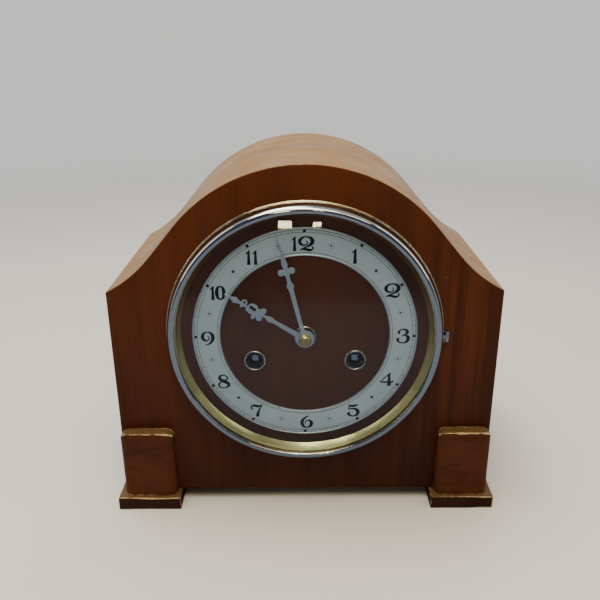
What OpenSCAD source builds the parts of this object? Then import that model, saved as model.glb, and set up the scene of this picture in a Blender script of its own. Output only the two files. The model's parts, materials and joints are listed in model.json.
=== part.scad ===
// Arched mantel clock with a two-train striking movement.
// Millimetres, +Z up, the dial faces -Y. The origin is the middle of the footprint, on the surface
// that the feet stand on. Depths are measured back from the face of the front panel.

/* [Case] */
// Width of the case across its sides
case_w = 250; // [244:1:256]
// Depth of the case from the front panel's face to the back
case_d = 136; // [132:1:144]
// Height of the feet
foot_h = 9.2; // [6:0.1:12]
// Thickness of the front panel
panel_t = 8; // [6:1:8]
// Thickness of the sides, the base and the arched top
board_t = 7; // [5:0.5:8]
// Thickness of the back panel
back_t = 6; // [5:0.5:7]
// Radius of the arched top
arch_r = 104; // [102:1:104]
// Height of the arch's centre
arch_z = 132; // [132:1:134]
// Half angle of the arch
arch_half = 50; // [48:1:52]

/* [Front trim] */
// Distance that the pilasters stand out from the front panel
pilaster_out = 8.3; // [6:0.1:9]
// Width of a pilaster
pilaster_w = 36; // [30:1:38]
// Height of a pilaster's top
pilaster_z = 58.4; // [52:0.1:60]
// Distance that the foot plates stand out from the front panel
plate_out = 11.1; // [9:0.1:12]
// Distance that the foot plates stand out past the case's sides
plate_side = 4.2; // [2:0.1:5]
// Width of a foot plate
plate_w = 42.8; // [38:0.1:44]

/* [Dial] */
// Height of the dial's centre
dial_z = 126.1; // [124:0.1:127]
// Outer radius of the chapter ring
chapter_r = 72.2; // [70:0.1:73]
// Inner radius of the chapter ring
chapter_in = 54.2; // [53:0.1:55]
// Distance of each winding hole from the dial's upright centre line
wind_x = 32.6; // [32.6:0.1:33]
// Distance of the winding holes below the dial's centre
wind_drop = 17.2; // [17:0.1:17.2]
// Radius of the bezel's rim
bezel_r = 89.3; // [88:0.1:89.3]
// Radius of the bezel's front opening
bezel_in = 82.4; // [82:0.1:83]
// Reach of the glass in front of the panel
glass_out = 19.5; // [18:0.1:20]
// Length of the hour hand
hour_len = 58.6; // [56:0.1:59]
// Length of the minute hand
minute_len = 71; // [69:0.1:71]
// Angle of the hour hand, anticlockwise from twelve
hour_at = 58.2; // [50:0.1:65]
// Angle of the minute hand, anticlockwise from twelve
minute_at = 13.6; // [8:0.1:18]

/* [Movement] */
// Half width of the movement's plates
plate_x = 62; // [61:0.5:64]
// Thickness of the movement's plates
plate_t = 1.6; // [1.4:0.1:1.8]
// Depth of the front plate's front face
movement_d = 20; // [20:0.5:22]
// Clear distance between the plates
plate_gap = 32; // [32:0.5:33]
// Running clearance of a pivot in its hole
run = 0.05; // [0.03:0.01:0.06]
// Length of the pendulum to the middle of its bob
pendulum_len = 110.4; // [108:0.1:111]

/* [Hidden] */

half_w = case_w / 2;
knob_out = 6.5;
face_y = (glass_out - case_d - knob_out) / 2;
$fn = 96;

// Outline of the case: a straight side, a cove, a short slope and the arched top
cove_r = 90;
slope_len = 25.4;
arch_end = [arch_r * sin(arch_half), arch_z + arch_r * cos(arch_half)];
slope_end = [arch_end[0] + slope_len * cos(arch_half), arch_end[1] - slope_len * sin(arch_half)];
cove_c = [slope_end[0] + cove_r * sin(arch_half), slope_end[1] + cove_r * cos(arch_half)];

// Rear door
door_r = 80;
door_arch_z = 120;
door_z = 40;
door_gap = 0.5;
door_t = 5;
door_axis = [80.25, case_d + 2.1];
door_hinge_z = [58, 104];
knuckle_r = 1.9;
door_pin_r = 0.8;

// Bezel hinge, at three o'clock
bezel_axis = [90.9, 1.5];
bezel_knuckle_r = 1.3;
bezel_pin_r = 0.5;

// Radii of the concentric dial pieces
grommet_r = 7;
grommet_bore = 6.1;
grommet_tube = 6.6;
centre_arbor_r = 1.2;
cannon_bore = centre_arbor_r + 0.07;
cannon_r = 2.1;
hour_bore = cannon_r + 0.07;
hour_pipe_r = 3.2;
wind_r = 3;
wind_square = 3.75;

// Depths of the movement
inner_d = movement_d + plate_t;
back_d = inner_d + plate_gap;
outer_d = back_d + plate_t;

// Wheel counts and modules
great = 84;
great_m = 0.6;
inter_teeth = 72;
inter_m = 0.55;
centre_teeth = 80;
centre_m = 0.5;
third_teeth = 96;
third_m = 0.38;
escape_teeth = 45;
escape_r = 9;
second_teeth = 72;
second_m = 0.5;
pin_teeth = 60;
pin_m = 0.45;
lock_teeth = 56;
warn_teeth = 48;
fine_m = 0.4;
minute_teeth = 36;
minute_m = 0.5;
hour_teeth = 40;
hour_m = 0.48;
big_leaves = 12;
small_leaves = 8;
minute_leaves = 10;

// Centres of the arbors, seen from the front, relative to the dial's centre
function centre_distance(na, nb, m) = (na + nb) * m / 2;
function meet(a, ra, b, rb, side) = let(
    d = norm(b - a), u = (b - a) / d, along = (ra * ra - rb * rb + d * d) / (2 * d),
    across = sqrt(ra * ra - along * along))
  a + along * u + side * across * [-u[1], u[0]];
function at_angle(c, r, deg) = c + r * [cos(deg), sin(deg)];
centre_at = [0, 0];
going_at = [wind_x, -wind_drop];
strike_at = [-wind_x, -wind_drop];
inter_at = meet(centre_at, centre_distance(inter_teeth, big_leaves, inter_m),
  going_at, centre_distance(great, big_leaves, great_m), -1);
third_at = at_angle(centre_at, centre_distance(centre_teeth, small_leaves, centre_m), 99.9);
escape_at = at_angle(third_at, centre_distance(third_teeth, small_leaves, third_m), 78.9);
anchor_at = [0, 53];
minute_wheel_at = at_angle(centre_at, centre_distance(minute_teeth, big_leaves, minute_m), 135);
second_at = at_angle(strike_at, centre_distance(great, big_leaves, great_m), 84.8);
pin_at = at_angle(second_at, centre_distance(second_teeth, small_leaves, second_m), 72.6);
lock_at = at_angle(pin_at, centre_distance(pin_teeth, small_leaves, pin_m), 60);
warn_at = at_angle(lock_at, centre_distance(lock_teeth, small_leaves, fine_m), 150);
fly_at = at_angle(warn_at, centre_distance(warn_teeth, small_leaves, fine_m), 214.8);
hammer_at = [-58, -29];
pillars_at = [[-56, -42], [56, -42], [-54, 52], [54, 52]];
posts_at = [[-40, -42], [40, -42], [-36, 54], [36, 54]];
click_at = [13, 7.5];
ratchet_r = 9.5;

// A gap of the second wheel faces a tooth of the first across the line between their centres
function heading(a, b) = atan2(b[1] - a[1], b[0] - a[0]);
function meshed(a, b, turn, na, nb) =
  heading(a, b) + 180 + ((heading(a, b) - turn) * na / 360 - 0.5) * 360 / nb;

// Gong
gong_z = 42;
gong_depths = [74, 82];
gong_block_x = 44;
rod_end_x = -104;

module at_face() {
  translate([0, face_y, 0]) children();
}

module at_dial() {
  translate([0, face_y, dial_z]) rotate([90, 0, 0]) children();
}

// A flat outline filling the space between two depths, drawn as seen from the front
module slab(d0, d1) {
  translate([0, 0, -d1]) linear_extrude(d1 - d0) children();
}

module rod(at, r, d0, d1) {
  translate([at[0], at[1], -d1]) cylinder(r = r, h = d1 - d0);
}

function arc(c, r, from, to, steps) =
  [for (i = [0:steps]) let(t = from + (to - from) * i / steps) c + r * [cos(t), sin(t)]];

// The case's outline set in by t, standing on the level z
function case_half(t, z) = let(r = cove_r + t, reach = acos((cove_c[0] - half_w + t) / r))
  concat([[half_w - t, z]], arc(cove_c, r, 180 + reach, 270 - arch_half, 8),
    arc([0, arch_z], arch_r - t, 90 - arch_half, 90, 12));
function case_outline(t, z) = concat(case_half(t, z),
  [for (i = [len(case_half(t, z)) - 2:-1:0]) [-case_half(t, z)[i][0], case_half(t, z)[i][1]]]);

// Stands an outline drawn in X and Z upright, between two depths
module upright(d0, d1) {
  translate([0, d1, 0]) rotate([90, 0, 0]) linear_extrude(d1 - d0) children();
}

module front_panel() {
  color("#42240f") difference() {
    at_face() upright(0, panel_t) polygon(case_outline(0, foot_h));
    at_dial() {
      rod(centre_at, grommet_tube, -1, panel_t + 1);
      rod(going_at, grommet_tube, -1, panel_t + 1);
      rod(strike_at, grommet_tube, -1, panel_t + 1);
      translate([78.8, -4, -1.1]) cube([12.8, 8, 3]);
    }
  }
}

side_top = 150;
module side_board(side) {
  color("#4a2a14") at_face()
    translate([side > 0 ? half_w - board_t : -half_w, panel_t, foot_h])
      cube([board_t, case_d - panel_t, side_top - foot_h]);
}

module left_side() {
  side_board(-1);
}

module right_side() {
  side_board(1);
}

module arched_top() {
  outer = case_outline(0, side_top);
  inner = case_outline(board_t, side_top);
  last = len(inner) - 1;
  color("#4a2a14") at_face() upright(panel_t, case_d)
    polygon(concat(outer, [for (i = [last:-1:0]) inner[i]]));
}

module base_board() {
  color("#5a3a20") at_face()
    translate([board_t - half_w, panel_t, foot_h])
      cube([case_w - 2 * board_t, case_d - panel_t, board_t + 1]);
}
base_top = foot_h + board_t + 1;

function door_outline(r, z) = concat([[r, z]], arc([0, door_arch_z], r, 0, 180, 30), [[-r, z]]);

module back_panel() {
  color("#5a3a20") at_face() difference() {
    upright(case_d - back_t, case_d) polygon(case_outline(board_t, base_top));
    upright(case_d - back_t - 1, case_d + 1) polygon(door_outline(door_r, door_z));
    translate([-door_r - 10, case_d - back_t / 2, catch_z]) rotate([0, 90, 0])
      cylinder(r = 2, h = 11);
  }
}

// Triangular glue blocks in the corners between the base and the sides
module corner_blocks() {
  leg = 11;
  color("#8a6a44") at_face() for (side = [-1, 1])
    upright(panel_t + 6, panel_t + 56)
      polygon([[side * (half_w - board_t), base_top],
        [side * (half_w - board_t - leg), base_top],
        [side * (half_w - board_t), base_top + leg]]);
}

corner_r = 5.5;
module pilaster() {
  w = pilaster_w;
  h = pilaster_z - foot_h;
  intersection() {
    upright(-pilaster_out, 0)
      polygon(concat([[0, foot_h], [w, foot_h]],
        arc([w - corner_r, foot_h + h - corner_r], corner_r, 0, 90, 6),
        arc([corner_r, foot_h + h - corner_r], corner_r, 90, 180, 6)));
    linear_extrude(pilaster_z + 1)
      polygon(concat([[w, 0], [0, 0]], arc([corner_r, corner_r - pilaster_out], corner_r, 180, 270, 6),
        arc([w - corner_r, corner_r - pilaster_out], corner_r, 270, 360, 6)));
  }
}

module pilasters() {
  color("#3c1e10") at_face() for (x = [-half_w, half_w - pilaster_w])
    translate([x, 0, 0]) pilaster();
}

front_plate_back = 30;
module front_foot_plates() {
  color("#2d191c") at_face() for (x = [-half_w - plate_side, half_w + plate_side - plate_w])
    translate([x, -plate_out, 0]) cube([plate_w, plate_out + front_plate_back, foot_h]);
}

module rear_feet() {
  color("#2d191c") at_face() for (x = [-half_w, half_w - pilaster_w])
    translate([x, case_d - 30, 0]) cube([pilaster_w, 28, foot_h]);
}

module rear_door() {
  color("#5a3a20") at_face() difference() {
    upright(case_d - door_gap - door_t, case_d - door_gap)
      polygon(door_outline(door_r - door_gap, door_z + door_gap));
    translate([knob_x, case_d - door_t - 1, catch_z]) rotate([-90, 0, 0])
      cylinder(r = 1.5, h = door_t + 2);
  }
}

knob_x = -70;
catch_z = 112;
module door_knob() {
  color("#c8a050") at_face() translate([knob_x, case_d - door_gap, catch_z]) rotate([-90, 0, 0])
    rotate_extrude()
      polygon([[0, -door_t - 0.5], [2.6, -door_t - 0.5], [2.6, -door_t], [1.5, -door_t], [1.5, 0],
        [3.4, 0], [3.6, 0.6], [2.2, 1.4], [2, 2.4], [3, 3.4], [4.6, 4.2], [5, 5.2], [4.4, 6.2],
        [2.4, 7], [0, 7]]);
}

// A spring-loaded ball let into the edge of the back panel, which holds the door shut
module door_bullet_catch() {
  ball_r = 1.4;
  color("#c8a050") at_face() translate([-door_r, case_d - back_t / 2, catch_z]) {
    rotate([0, -90, 0]) cylinder(r = 2, h = 10);
    translate([0.3 - ball_r, 0, 0]) sphere(r = ball_r);
  }
}

module door_knuckle(z0, h, bore) {
  translate([door_axis[0], door_axis[1], z0]) difference() {
    cylinder(r = knuckle_r, h = h);
    translate([0, 0, -1]) cylinder(r = bore, h = h + 2);
  }
}

// Each hinge has five knuckles of 4 mm: the frame's leaf has two, the door's leaf three
knuckle_h = 4;
leaf_w = 11;
leaf_h = 5 * knuckle_h;
leaf_t = 0.8;
module door_frame_hinges() {
  color("#c8a050") at_face() for (z = door_hinge_z) {
    translate([door_axis[0] + knuckle_r + 0.6, case_d, z - leaf_h / 2])
      cube([leaf_w, leaf_t, leaf_h]);
    for (k = [1, 3]) {
      z0 = z - leaf_h / 2 + k * knuckle_h + 0.1;
      door_knuckle(z0, knuckle_h - 0.2, door_pin_r);
      translate([door_axis[0] + 1.4, case_d, z0]) cube([1.4, leaf_t, knuckle_h - 0.2]);
    }
    translate([door_axis[0], door_axis[1], z - leaf_h / 2 - 0.6])
      cylinder(r = door_pin_r, h = leaf_h + 1.2);
  }
}

module door_leaf_hinges() {
  color("#c8a050") at_face() for (z = door_hinge_z) {
    translate([door_axis[0] - knuckle_r - 0.6 - leaf_w, case_d - door_gap, z - leaf_h / 2])
      cube([leaf_w, leaf_t, leaf_h]);
    for (k = [0, 2, 4]) {
      z0 = z - leaf_h / 2 + k * knuckle_h + 0.1;
      door_knuckle(z0, knuckle_h - 0.2, door_pin_r + run);
      translate([door_axis[0] - 2.8, case_d - door_gap, z0])
        cube([1.4, door_gap + leaf_t, knuckle_h - 0.2]);
    }
  }
}

module chapter_ring() {
  color("#a0a8a5") at_dial() rotate_extrude()
    polygon([[chapter_in, 0], [chapter_r, 0], [chapter_r, 0.9], [chapter_r - 0.5, 1.1],
      [chapter_r - 1.6, 1.1], [chapter_r - 2, 0.8], [chapter_in + 1.5, 0.8],
      [chapter_in + 1.2, 1.1], [chapter_in + 0.4, 1.1], [chapter_in, 0.9]]);
}

module dial_grommets() {
  color("#c8b890") at_dial() for (at = [centre_at, going_at, strike_at])
    translate([at[0], at[1], 0]) rotate_extrude()
      polygon([[grommet_bore, -panel_t], [grommet_tube, -panel_t], [grommet_tube, 0],
        [grommet_r, 0], [grommet_r, 0.5], [grommet_r - 0.3, 0.9], [grommet_bore + 0.2, 0.9],
        [grommet_bore, 0.6]]);
}

crest_r = 84.2;
wall_p = 3.2;
crest_p = 9.8;
function crest_arc(dr, dp, from, to, steps) = [for (i = [0:steps])
  let(t = from + (to - from) * i / steps) [crest_r + dr * cos(t), wall_p + dp * sin(t)]];
module bezel() {
  shell = 0.9;
  wall_r = 88 - crest_r;
  crest = crest_p - wall_p;
  color("#d8d8d4") at_dial() rotate_extrude()
    polygon(concat([[crest_r + wall_r - shell, 0.3], [bezel_r - 0.2, 0.3], [bezel_r, 0.9],
      [bezel_r - 0.2, 1.9], [bezel_r - 1, 2.3], [bezel_r - 1.4, 2.9]],
      crest_arc(wall_r, crest, 0, 90, 10),
      [[bezel_in + 0.5, crest_p - 0.3], [bezel_in, crest_p - 0.9], [bezel_in, crest_p - 1.6]],
      crest_arc(wall_r - shell, crest - shell, 90, 0, 8)));
}

rim_r = 83.2;
rim_p = 7.8;
glass_t = 1.6;
glass_rise = glass_out - rim_p;
glass_sphere = (rim_r * rim_r + glass_rise * glass_rise) / (2 * glass_rise);
glass_half = asin(rim_r / glass_sphere);
module bezel_glass() {
  steps = 12;
  color("#c8d8dc", 0.3) at_dial() rotate_extrude()
    polygon(concat(
      [for (i = [0:steps]) let(t = glass_half * i / steps)
        [glass_sphere * sin(t), glass_out - glass_sphere * (1 - cos(t))]],
      [for (i = [steps:-1:0]) let(t = glass_half * i / steps)
        [glass_sphere * sin(t), glass_out - glass_t - glass_sphere * (1 - cos(t))]]));
}

// Bright conical ring that holds the glass in the bezel
module sight_ring() {
  flange_p = rim_p - glass_t - 0.05;
  color("#d0c8b0") at_dial() rotate_extrude()
    polygon([[78.7, 0.6], [79.2, 0.4], [82.8, flange_p - 0.6], [86.3, flange_p - 0.6],
      [86.3, flange_p], [82.4, flange_p]]);
}

module bezel_knuckle(z0, h, bore) {
  translate([bezel_axis[0], z0, bezel_axis[1]]) rotate([-90, 0, 0]) difference() {
    cylinder(r = bezel_knuckle_r, h = h);
    translate([0, 0, -1]) cylinder(r = bore, h = h + 2);
  }
}

// Fixed half of the hinge, let into the panel under the bezel's rim, with its pin
module bezel_hinge_plate() {
  color("#c0b8a0") at_dial() {
    translate([79, -3.5, -1]) cube([12.3, 7, 0.8]);
    for (z0 = [-3.5, 1.25]) {
      bezel_knuckle(z0, 2.25, bezel_pin_r);
      translate([89.9, z0, -0.3]) cube([1.2, 2.25, 1]);
    }
    translate([bezel_axis[0], -3.9, bezel_axis[1]]) rotate([-90, 0, 0])
      cylinder(r = bezel_pin_r, h = 7.8);
  }
}

module bezel_hinge_tab() {
  color("#c0b8a0") at_dial() {
    bezel_knuckle(-1.1, 2.2, bezel_pin_r + run);
    translate([87.5, -1.1, bezel_axis[1] + 0.6]) cube([3.2, 2.2, 0.65]);
  }
}

// Serpentine hour hand, drawn pointing up
module hour_outline() {
  difference() {
    union() {
      circle(r = 6);
      polygon([[-1.7, 5], [1.7, 5], [1.15, 23], [1.9, 25.2], [1.7, 27], [0.8, 28.8], [0.9, 31],
        [2.6, 31], [2.6, 35.5], [0, 36.8], [-3.4, 36.8], [-2.6, 31], [-0.9, 31], [-0.8, 28.8],
        [-1.7, 27], [-1.9, 25.2], [-1.15, 23]]);
      translate([2.7, 32.1]) circle(r = 1.9);
      translate([-2.8, 32.2]) circle(r = 2);
      translate([-4.2, 35.9]) circle(r = 1.3);
      translate([0.4, 38.7]) circle(r = 3.6);
      polygon([[-3.6, 35.5], [-2, 35.5], [0.4, 42], [1, 48.6], [2.1, 51.2], [0.6, 54.2],
        [0.25, hour_len], [-0.25, hour_len], [-0.6, 54.2], [-2.1, 51.2], [-1, 48.6],
        [-0.9, 46.6], [-2.8, 46], [-1, 44.6], [-0.8, 42.8], [-2.9, 41.8], [-1.9, 40]]);
      translate([1.5, 45.2]) circle(r = 2);
    }
    translate([0.7, 37.7]) circle(r = 1.25);
    translate([0.9, 39.8]) circle(r = 1.25);
    translate([1.7, 45.2]) circle(r = 0.85);
    circle(r = hour_pipe_r);
  }
}

module hour_hand() {
  color("#9aa0a0") at_dial() rotate([0, 0, hour_at]) slab(-4.9, -4.2) hour_outline();
}

// Minute hand, drawn pointing up
module minute_outline() {
  difference() {
    union() {
      circle(r = 4.6);
      polygon([[-1.2, 3.5], [1.2, 3.5], [1.45, 33], [1.7, 35.5], [2.4, 37.6], [1.2, 40.3],
        [1.2, 44.5], [2.2, 46], [2.2, 48.4], [1.2, 49.4], [1.9, 51.6], [1.5, 54.6], [0.85, 60],
        [0.25, minute_len], [-0.25, minute_len], [-0.85, 60], [-1.5, 54.6], [-1.9, 51.6],
        [-1.2, 49.4], [-2.2, 48.4], [-2.2, 46], [-1.2, 44.5], [-1.2, 40.3], [-2.4, 37.6],
        [-1.7, 35.5], [-1.45, 33]]);
      translate([3.3, 47.2]) circle(r = 2.1);
      translate([-3.3, 47.2]) circle(r = 2.1);
    }
    circle(r = cannon_r);
  }
}

module minute_hand() {
  color("#9aa0a0") at_dial() rotate([0, 0, minute_at]) slab(-6.9, -6.2) minute_outline();
}

module hand_nut() {
  color("#c8a050") at_dial() rotate_extrude()
    polygon([[cannon_bore, 6.95], [4.2, 6.95], [4.2, 7.6], [3.9, 8.5], [3.2, 9.3], [2.3, 9.9],
      [cannon_bore, 10.2]]);
}

// Plates
module plate_outline() {
  cut = 6;
  top = 60;
  foot = -48;
  polygon([[-plate_x + cut, foot], [plate_x - cut, foot], [plate_x, foot + cut],
    [plate_x, top - cut], [plate_x - cut, top], [cut - plate_x, top], [-plate_x, top - cut],
    [-plate_x, foot + cut]]);
}

pivot_r = 0.8;
train_arbors = [inter_at, third_at, escape_at, second_at, pin_at, lock_at, warn_at, fly_at];
module plate_holes(d0, d1) {
  for (at = train_arbors) rod(at, pivot_r + run, d0, d1);
  for (at = [going_at, strike_at]) rod(at, wind_r + run, d0, d1);
  for (at = pillars_at) rod(at, 1.6, d0, d1);
  rod(hammer_at, centre_arbor_r + run, d0, d1);
}

module front_plate() {
  color("#b89048") at_dial() difference() {
    slab(movement_d, inner_d) plate_outline();
    plate_holes(movement_d - 1, inner_d + 1);
    rod(centre_at, centre_arbor_r + run, movement_d - 1, inner_d + 1);
    rod(anchor_at, pivot_r + run, movement_d - 1, inner_d + 1);
    for (at = posts_at) rod(at, 1.5, movement_d - 1, inner_d + 1);
  }
  // Studs that carry the minute wheel and the two clicks
  color("#b0b0b0") at_dial() {
    rod(minute_wheel_at, 1, 12.2, movement_d);
    for (side = [-1, 1]) rod([side * (going_at[0] + click_at[0]), going_at[1] + click_at[1]],
      1.5, 17, movement_d);
  }
}

module back_plate() {
  color("#b89048") at_dial() difference() {
    slab(back_d, outer_d) plate_outline();
    plate_holes(back_d - 1, outer_d + 1);
    rod(centre_at, pivot_r + run, back_d - 1, outer_d + 1);
    rod(anchor_at, 4, back_d - 1, outer_d + 1);
  }
}

module plate_pillars() {
  color("#c09850") at_dial() for (at = pillars_at) {
    rod(at, 3, inner_d, back_d);
    rod(at, 1.6, movement_d - 2.4, outer_d + 2.4);
  }
}

module pillar_nuts() {
  color("#b0b0b0") at_dial() for (at = pillars_at)
    for (d = [movement_d - 2.2, outer_d])
      translate([at[0], at[1], -d - 2.2]) difference() {
        cylinder(r = 3.4, h = 2.2, $fn = 6);
        translate([0, 0, -1]) cylinder(r = 1.6, h = 5);
      }
}

module movement_posts() {
  color("#9a9a94") at_dial() for (at = posts_at) difference() {
    rod(at, 4, panel_t, movement_d);
    rod(at, 1.5, panel_t - 1, movement_d + 1);
  }
}

module post_screws() {
  color("#b0b0b0") at_dial() for (at = posts_at) {
    rod(at, 1.5, panel_t, inner_d);
    difference() {
      rod(at, 3, inner_d, inner_d + 1.3);
      translate([at[0] - 4, at[1] - 0.4, -inner_d - 2]) cube([8, 0.8, 1.3]);
    }
  }
}

// Wheel teeth have straight flanks that narrow to the tip; pinion leaves are slim and rounded off
function polar(r, deg) = r * [cos(deg), sin(deg)];
function toothed(n, m, turn, thick, shape) = let(r = n * m / 2, w = thick * m / r * 180 / PI)
  [for (i = [0:n - 1]) for (s = shape) polar(r + s[0] * m, turn + i * 360 / n + s[1] * w)];
wheel_shape = [[-1.57, -1], [0, -1], [1.1, -0.3], [1.1, 0.3], [0, 1], [-1.57, 1]];
leaf_shape = [[-1.5, -0.75], [0, -1], [0.6, -0.45], [0.6, 0.45], [0, 1], [-1.5, 0.75]];

module wheel(at, n, m, turn, d0, d1, bore) {
  translate([at[0], at[1], 0]) slab(d0, d1) difference() {
    polygon(toothed(n, m, turn, 0.785, wheel_shape));
    circle(r = bore);
  }
}

// A wheel with its spokes cut out, fixed on an arbor
module crossed_wheel(at, n, m, turn, d, t, hub, arbor_r) {
  rim = n * m / 2 - 1.57 * m - 1.3;
  spoke = 1.6;
  translate([at[0], at[1], 0]) slab(inner_d + d, inner_d + d + t) difference() {
    polygon(toothed(n, m, turn, 0.785, wheel_shape));
    circle(r = arbor_r);
    for (k = [0:3]) rotate(k * 90 + turn) difference() {
      intersection() {
        circle(r = rim);
        translate([spoke / 2, spoke / 2]) square(rim);
      }
      circle(r = hub);
    }
  }
}

module pinion(at, n, m, turn, d0, d1, bore) {
  translate([at[0], at[1], 0]) slab(d0, d1) difference() {
    polygon(toothed(n, m, turn, 0.525, leaf_shape));
    circle(r = bore);
  }
}

// Arbor between the plates, with a thinner pivot at each end
module arbor(at, r) {
  translate([at[0], at[1], -outer_d - 0.4]) rotate_extrude()
    polygon([[0, 0], [pivot_r, 0], [pivot_r, plate_t + 0.7], [r, plate_t + 0.7],
      [r, plate_t + plate_gap + 0.1], [pivot_r, plate_t + plate_gap + 0.1],
      [pivot_r, 2 * plate_t + plate_gap + 0.8], [0, 2 * plate_t + plate_gap + 0.8]]);
}

// Motion work, in front of the front plate
cannon_turn = 0;
minute_turn = meshed(centre_at, minute_wheel_at, cannon_turn, big_leaves, minute_teeth);
minute_leaf_turn = 0;
hour_turn = meshed(minute_wheel_at, centre_at, minute_leaf_turn, minute_leaves, hour_teeth);
module cannon_pinion() {
  color("#c8a050") at_dial() {
    pinion(centre_at, big_leaves, minute_m, cannon_turn, 15.5, 18.5, cannon_bore);
    difference() {
      rod(centre_at, cannon_r, -6.9, 15.5);
      rod(centre_at, cannon_bore, -7.9, 16.5);
    }
  }
}

module minute_wheel() {
  bore = 1 + run;
  color("#c8a050") at_dial() {
    wheel(minute_wheel_at, minute_teeth, minute_m, minute_turn, 16, 17.2, bore);
    pinion(minute_wheel_at, minute_leaves, hour_m, minute_leaf_turn, 12.6, 16, bore);
  }
}

module hour_wheel() {
  color("#c8a050") at_dial() {
    wheel(centre_at, hour_teeth, hour_m, hour_turn, 13, 14.2, hour_bore);
    difference() {
      rod(centre_at, hour_pipe_r, -4.9, 13);
      rod(centre_at, hour_bore, -5.9, 14);
    }
  }
}

// Spring barrels: a drum with a toothed flange at the back
drum_r = 21;
drum_front = 5;
drum_back = 25;
great_t = 2;
module barrel(at, turn) {
  bore = wind_r + run;
  wheel(at, great, great_m, turn, inner_d + drum_back, inner_d + drum_back + great_t, bore);
  difference() {
    rod(at, drum_r, inner_d + drum_front, inner_d + drum_back);
    rod(at, drum_r - 1, inner_d + drum_front + 1.2, inner_d + drum_back);
    rod(at, bore, inner_d, inner_d + drum_back + 1);
  }
}

// Mainspring: a flat spiral strip inside the drum
module mainspring(at) {
  turns = 6;
  inner_r = 8;
  outer_r = 19;
  strip = 0.6;
  steps = 20 * turns;
  pitch = (outer_r - inner_r) / steps;
  side = [for (i = [0:steps]) polar(inner_r + pitch * i, i * 18)];
  back = [for (i = [steps:-1:0]) polar(inner_r + pitch * i + strip, i * 18)];
  translate([at[0], at[1], 0]) slab(inner_d + drum_front + 2.4, inner_d + drum_back - 1)
    polygon(concat(side, back));
}

// Winding arbor with its square, hub and ratchet wheel
module winding_arbor(at, hand) {
  teeth = 24;
  pts = [for (i = [0:teeth - 1]) each [polar(ratchet_r, hand * i * 360 / teeth),
    polar(ratchet_r - 1.5, hand * (i + 0.15) * 360 / teeth)]];
  translate([at[0], at[1], -17]) linear_extrude(13) square(wind_square, center = true);
  rod(at, wind_r, 17, outer_d + 1);
  difference() {
    rod(at, 5, inner_d + drum_front + 1.6, inner_d + drum_back - 0.4);
    rod(at, wind_r - 0.5, inner_d, inner_d + drum_back + 1);
  }
  translate([at[0], at[1], 0]) slab(17.6, 19) difference() {
    polygon(pts);
    circle(r = wind_r - 0.5);
  }
}

// Click: a pawl that rests just clear of the ratchet wheel
module click(side) {
  pivot = [side * (going_at[0] + click_at[0]), going_at[1] + click_at[1]];
  translate([pivot[0], pivot[1], 0]) mirror([side > 0 ? 1 : 0, 0, 0]) slab(17.6, 19)
    difference() {
      union() {
        circle(r = 3.2);
        polygon([[-0.5, 2.6], [2.6, -0.5], [10.6, 2.1], [10.8, 3.5]]);
      }
      circle(r = 1.5 + run);
    }
}

great_turn = 0;
inter_leaf_turn = meshed(going_at, inter_at, great_turn, great, big_leaves);
inter_turn = 0;
centre_leaf_turn = meshed(inter_at, centre_at, inter_turn, inter_teeth, big_leaves);
centre_turn = 0;
third_leaf_turn = meshed(centre_at, third_at, centre_turn, centre_teeth, small_leaves);
third_turn = 0;
escape_leaf_turn = meshed(third_at, escape_at, third_turn, third_teeth, small_leaves);

module going_barrel() {
  color("#c8a050") at_dial() barrel(going_at, great_turn);
}

module going_mainspring() {
  color("#505860") at_dial() mainspring(going_at);
}

module going_winding_arbor() {
  color("#a8a8a4") at_dial() winding_arbor(going_at, 1);
}

module going_click() {
  color("#a8a8a4") at_dial() click(1);
}

leaf_reach = 0.3;
module intermediate_wheel() {
  color("#c8a050") at_dial()
    crossed_wheel(inter_at, inter_teeth, inter_m, inter_turn, 2, 1.2, 4, 1.2);
  color("#a8a8a4") at_dial() {
    arbor(inter_at, 1.2);
    pinion(inter_at, big_leaves, great_m, inter_leaf_turn, inner_d + drum_back - leaf_reach,
      inner_d + drum_back + great_t + leaf_reach, 1.2);
  }
}

module centre_wheel() {
  color("#c8a050") at_dial()
    crossed_wheel(centre_at, centre_teeth, centre_m, centre_turn, 28.8, 1.2, 4, centre_arbor_r);
  color("#a8a8a4") at_dial() {
    rod(centre_at, centre_arbor_r, -9.6, back_d - 0.3);
    rod(centre_at, pivot_r, back_d - 0.3, outer_d + 0.4);
    pinion(centre_at, big_leaves, inter_m, centre_leaf_turn, inner_d + 1.5, inner_d + 3.7,
      centre_arbor_r);
  }
}

module third_wheel() {
  color("#c8a050") at_dial()
    crossed_wheel(third_at, third_teeth, third_m, third_turn, 14, 1, 3.4, 0.9);
  color("#a8a8a4") at_dial() {
    arbor(third_at, 0.9);
    pinion(third_at, small_leaves, centre_m, third_leaf_turn, inner_d + 28.3, inner_d + 30.6, 0.9);
  }
}

module escape_wheel() {
  root = 7.9;
  hub = 2.4;
  spoke = 1.1;
  pitch = 360 / escape_teeth;
  color("#c8a050") at_dial() translate([escape_at[0], escape_at[1], 0])
    slab(inner_d + 24, inner_d + 24.8) difference() {
      polygon([for (i = [0:escape_teeth - 1]) each [polar(escape_r, i * pitch),
        polar(root, (i + 0.2) * pitch), polar(root, (i + 0.75) * pitch)]]);
      circle(r = 0.82);
      for (k = [0:3]) rotate(k * 90) difference() {
        intersection() {
          circle(r = root - 1.1);
          translate([spoke / 2, spoke / 2]) square(root);
        }
        circle(r = hub);
      }
    }
  color("#a8a8a4") at_dial() {
    arbor(escape_at, 0.82);
    pinion(escape_at, small_leaves, third_m, escape_leaf_turn, inner_d + 13.4, inner_d + 15.6,
      0.82);
  }
}

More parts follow.
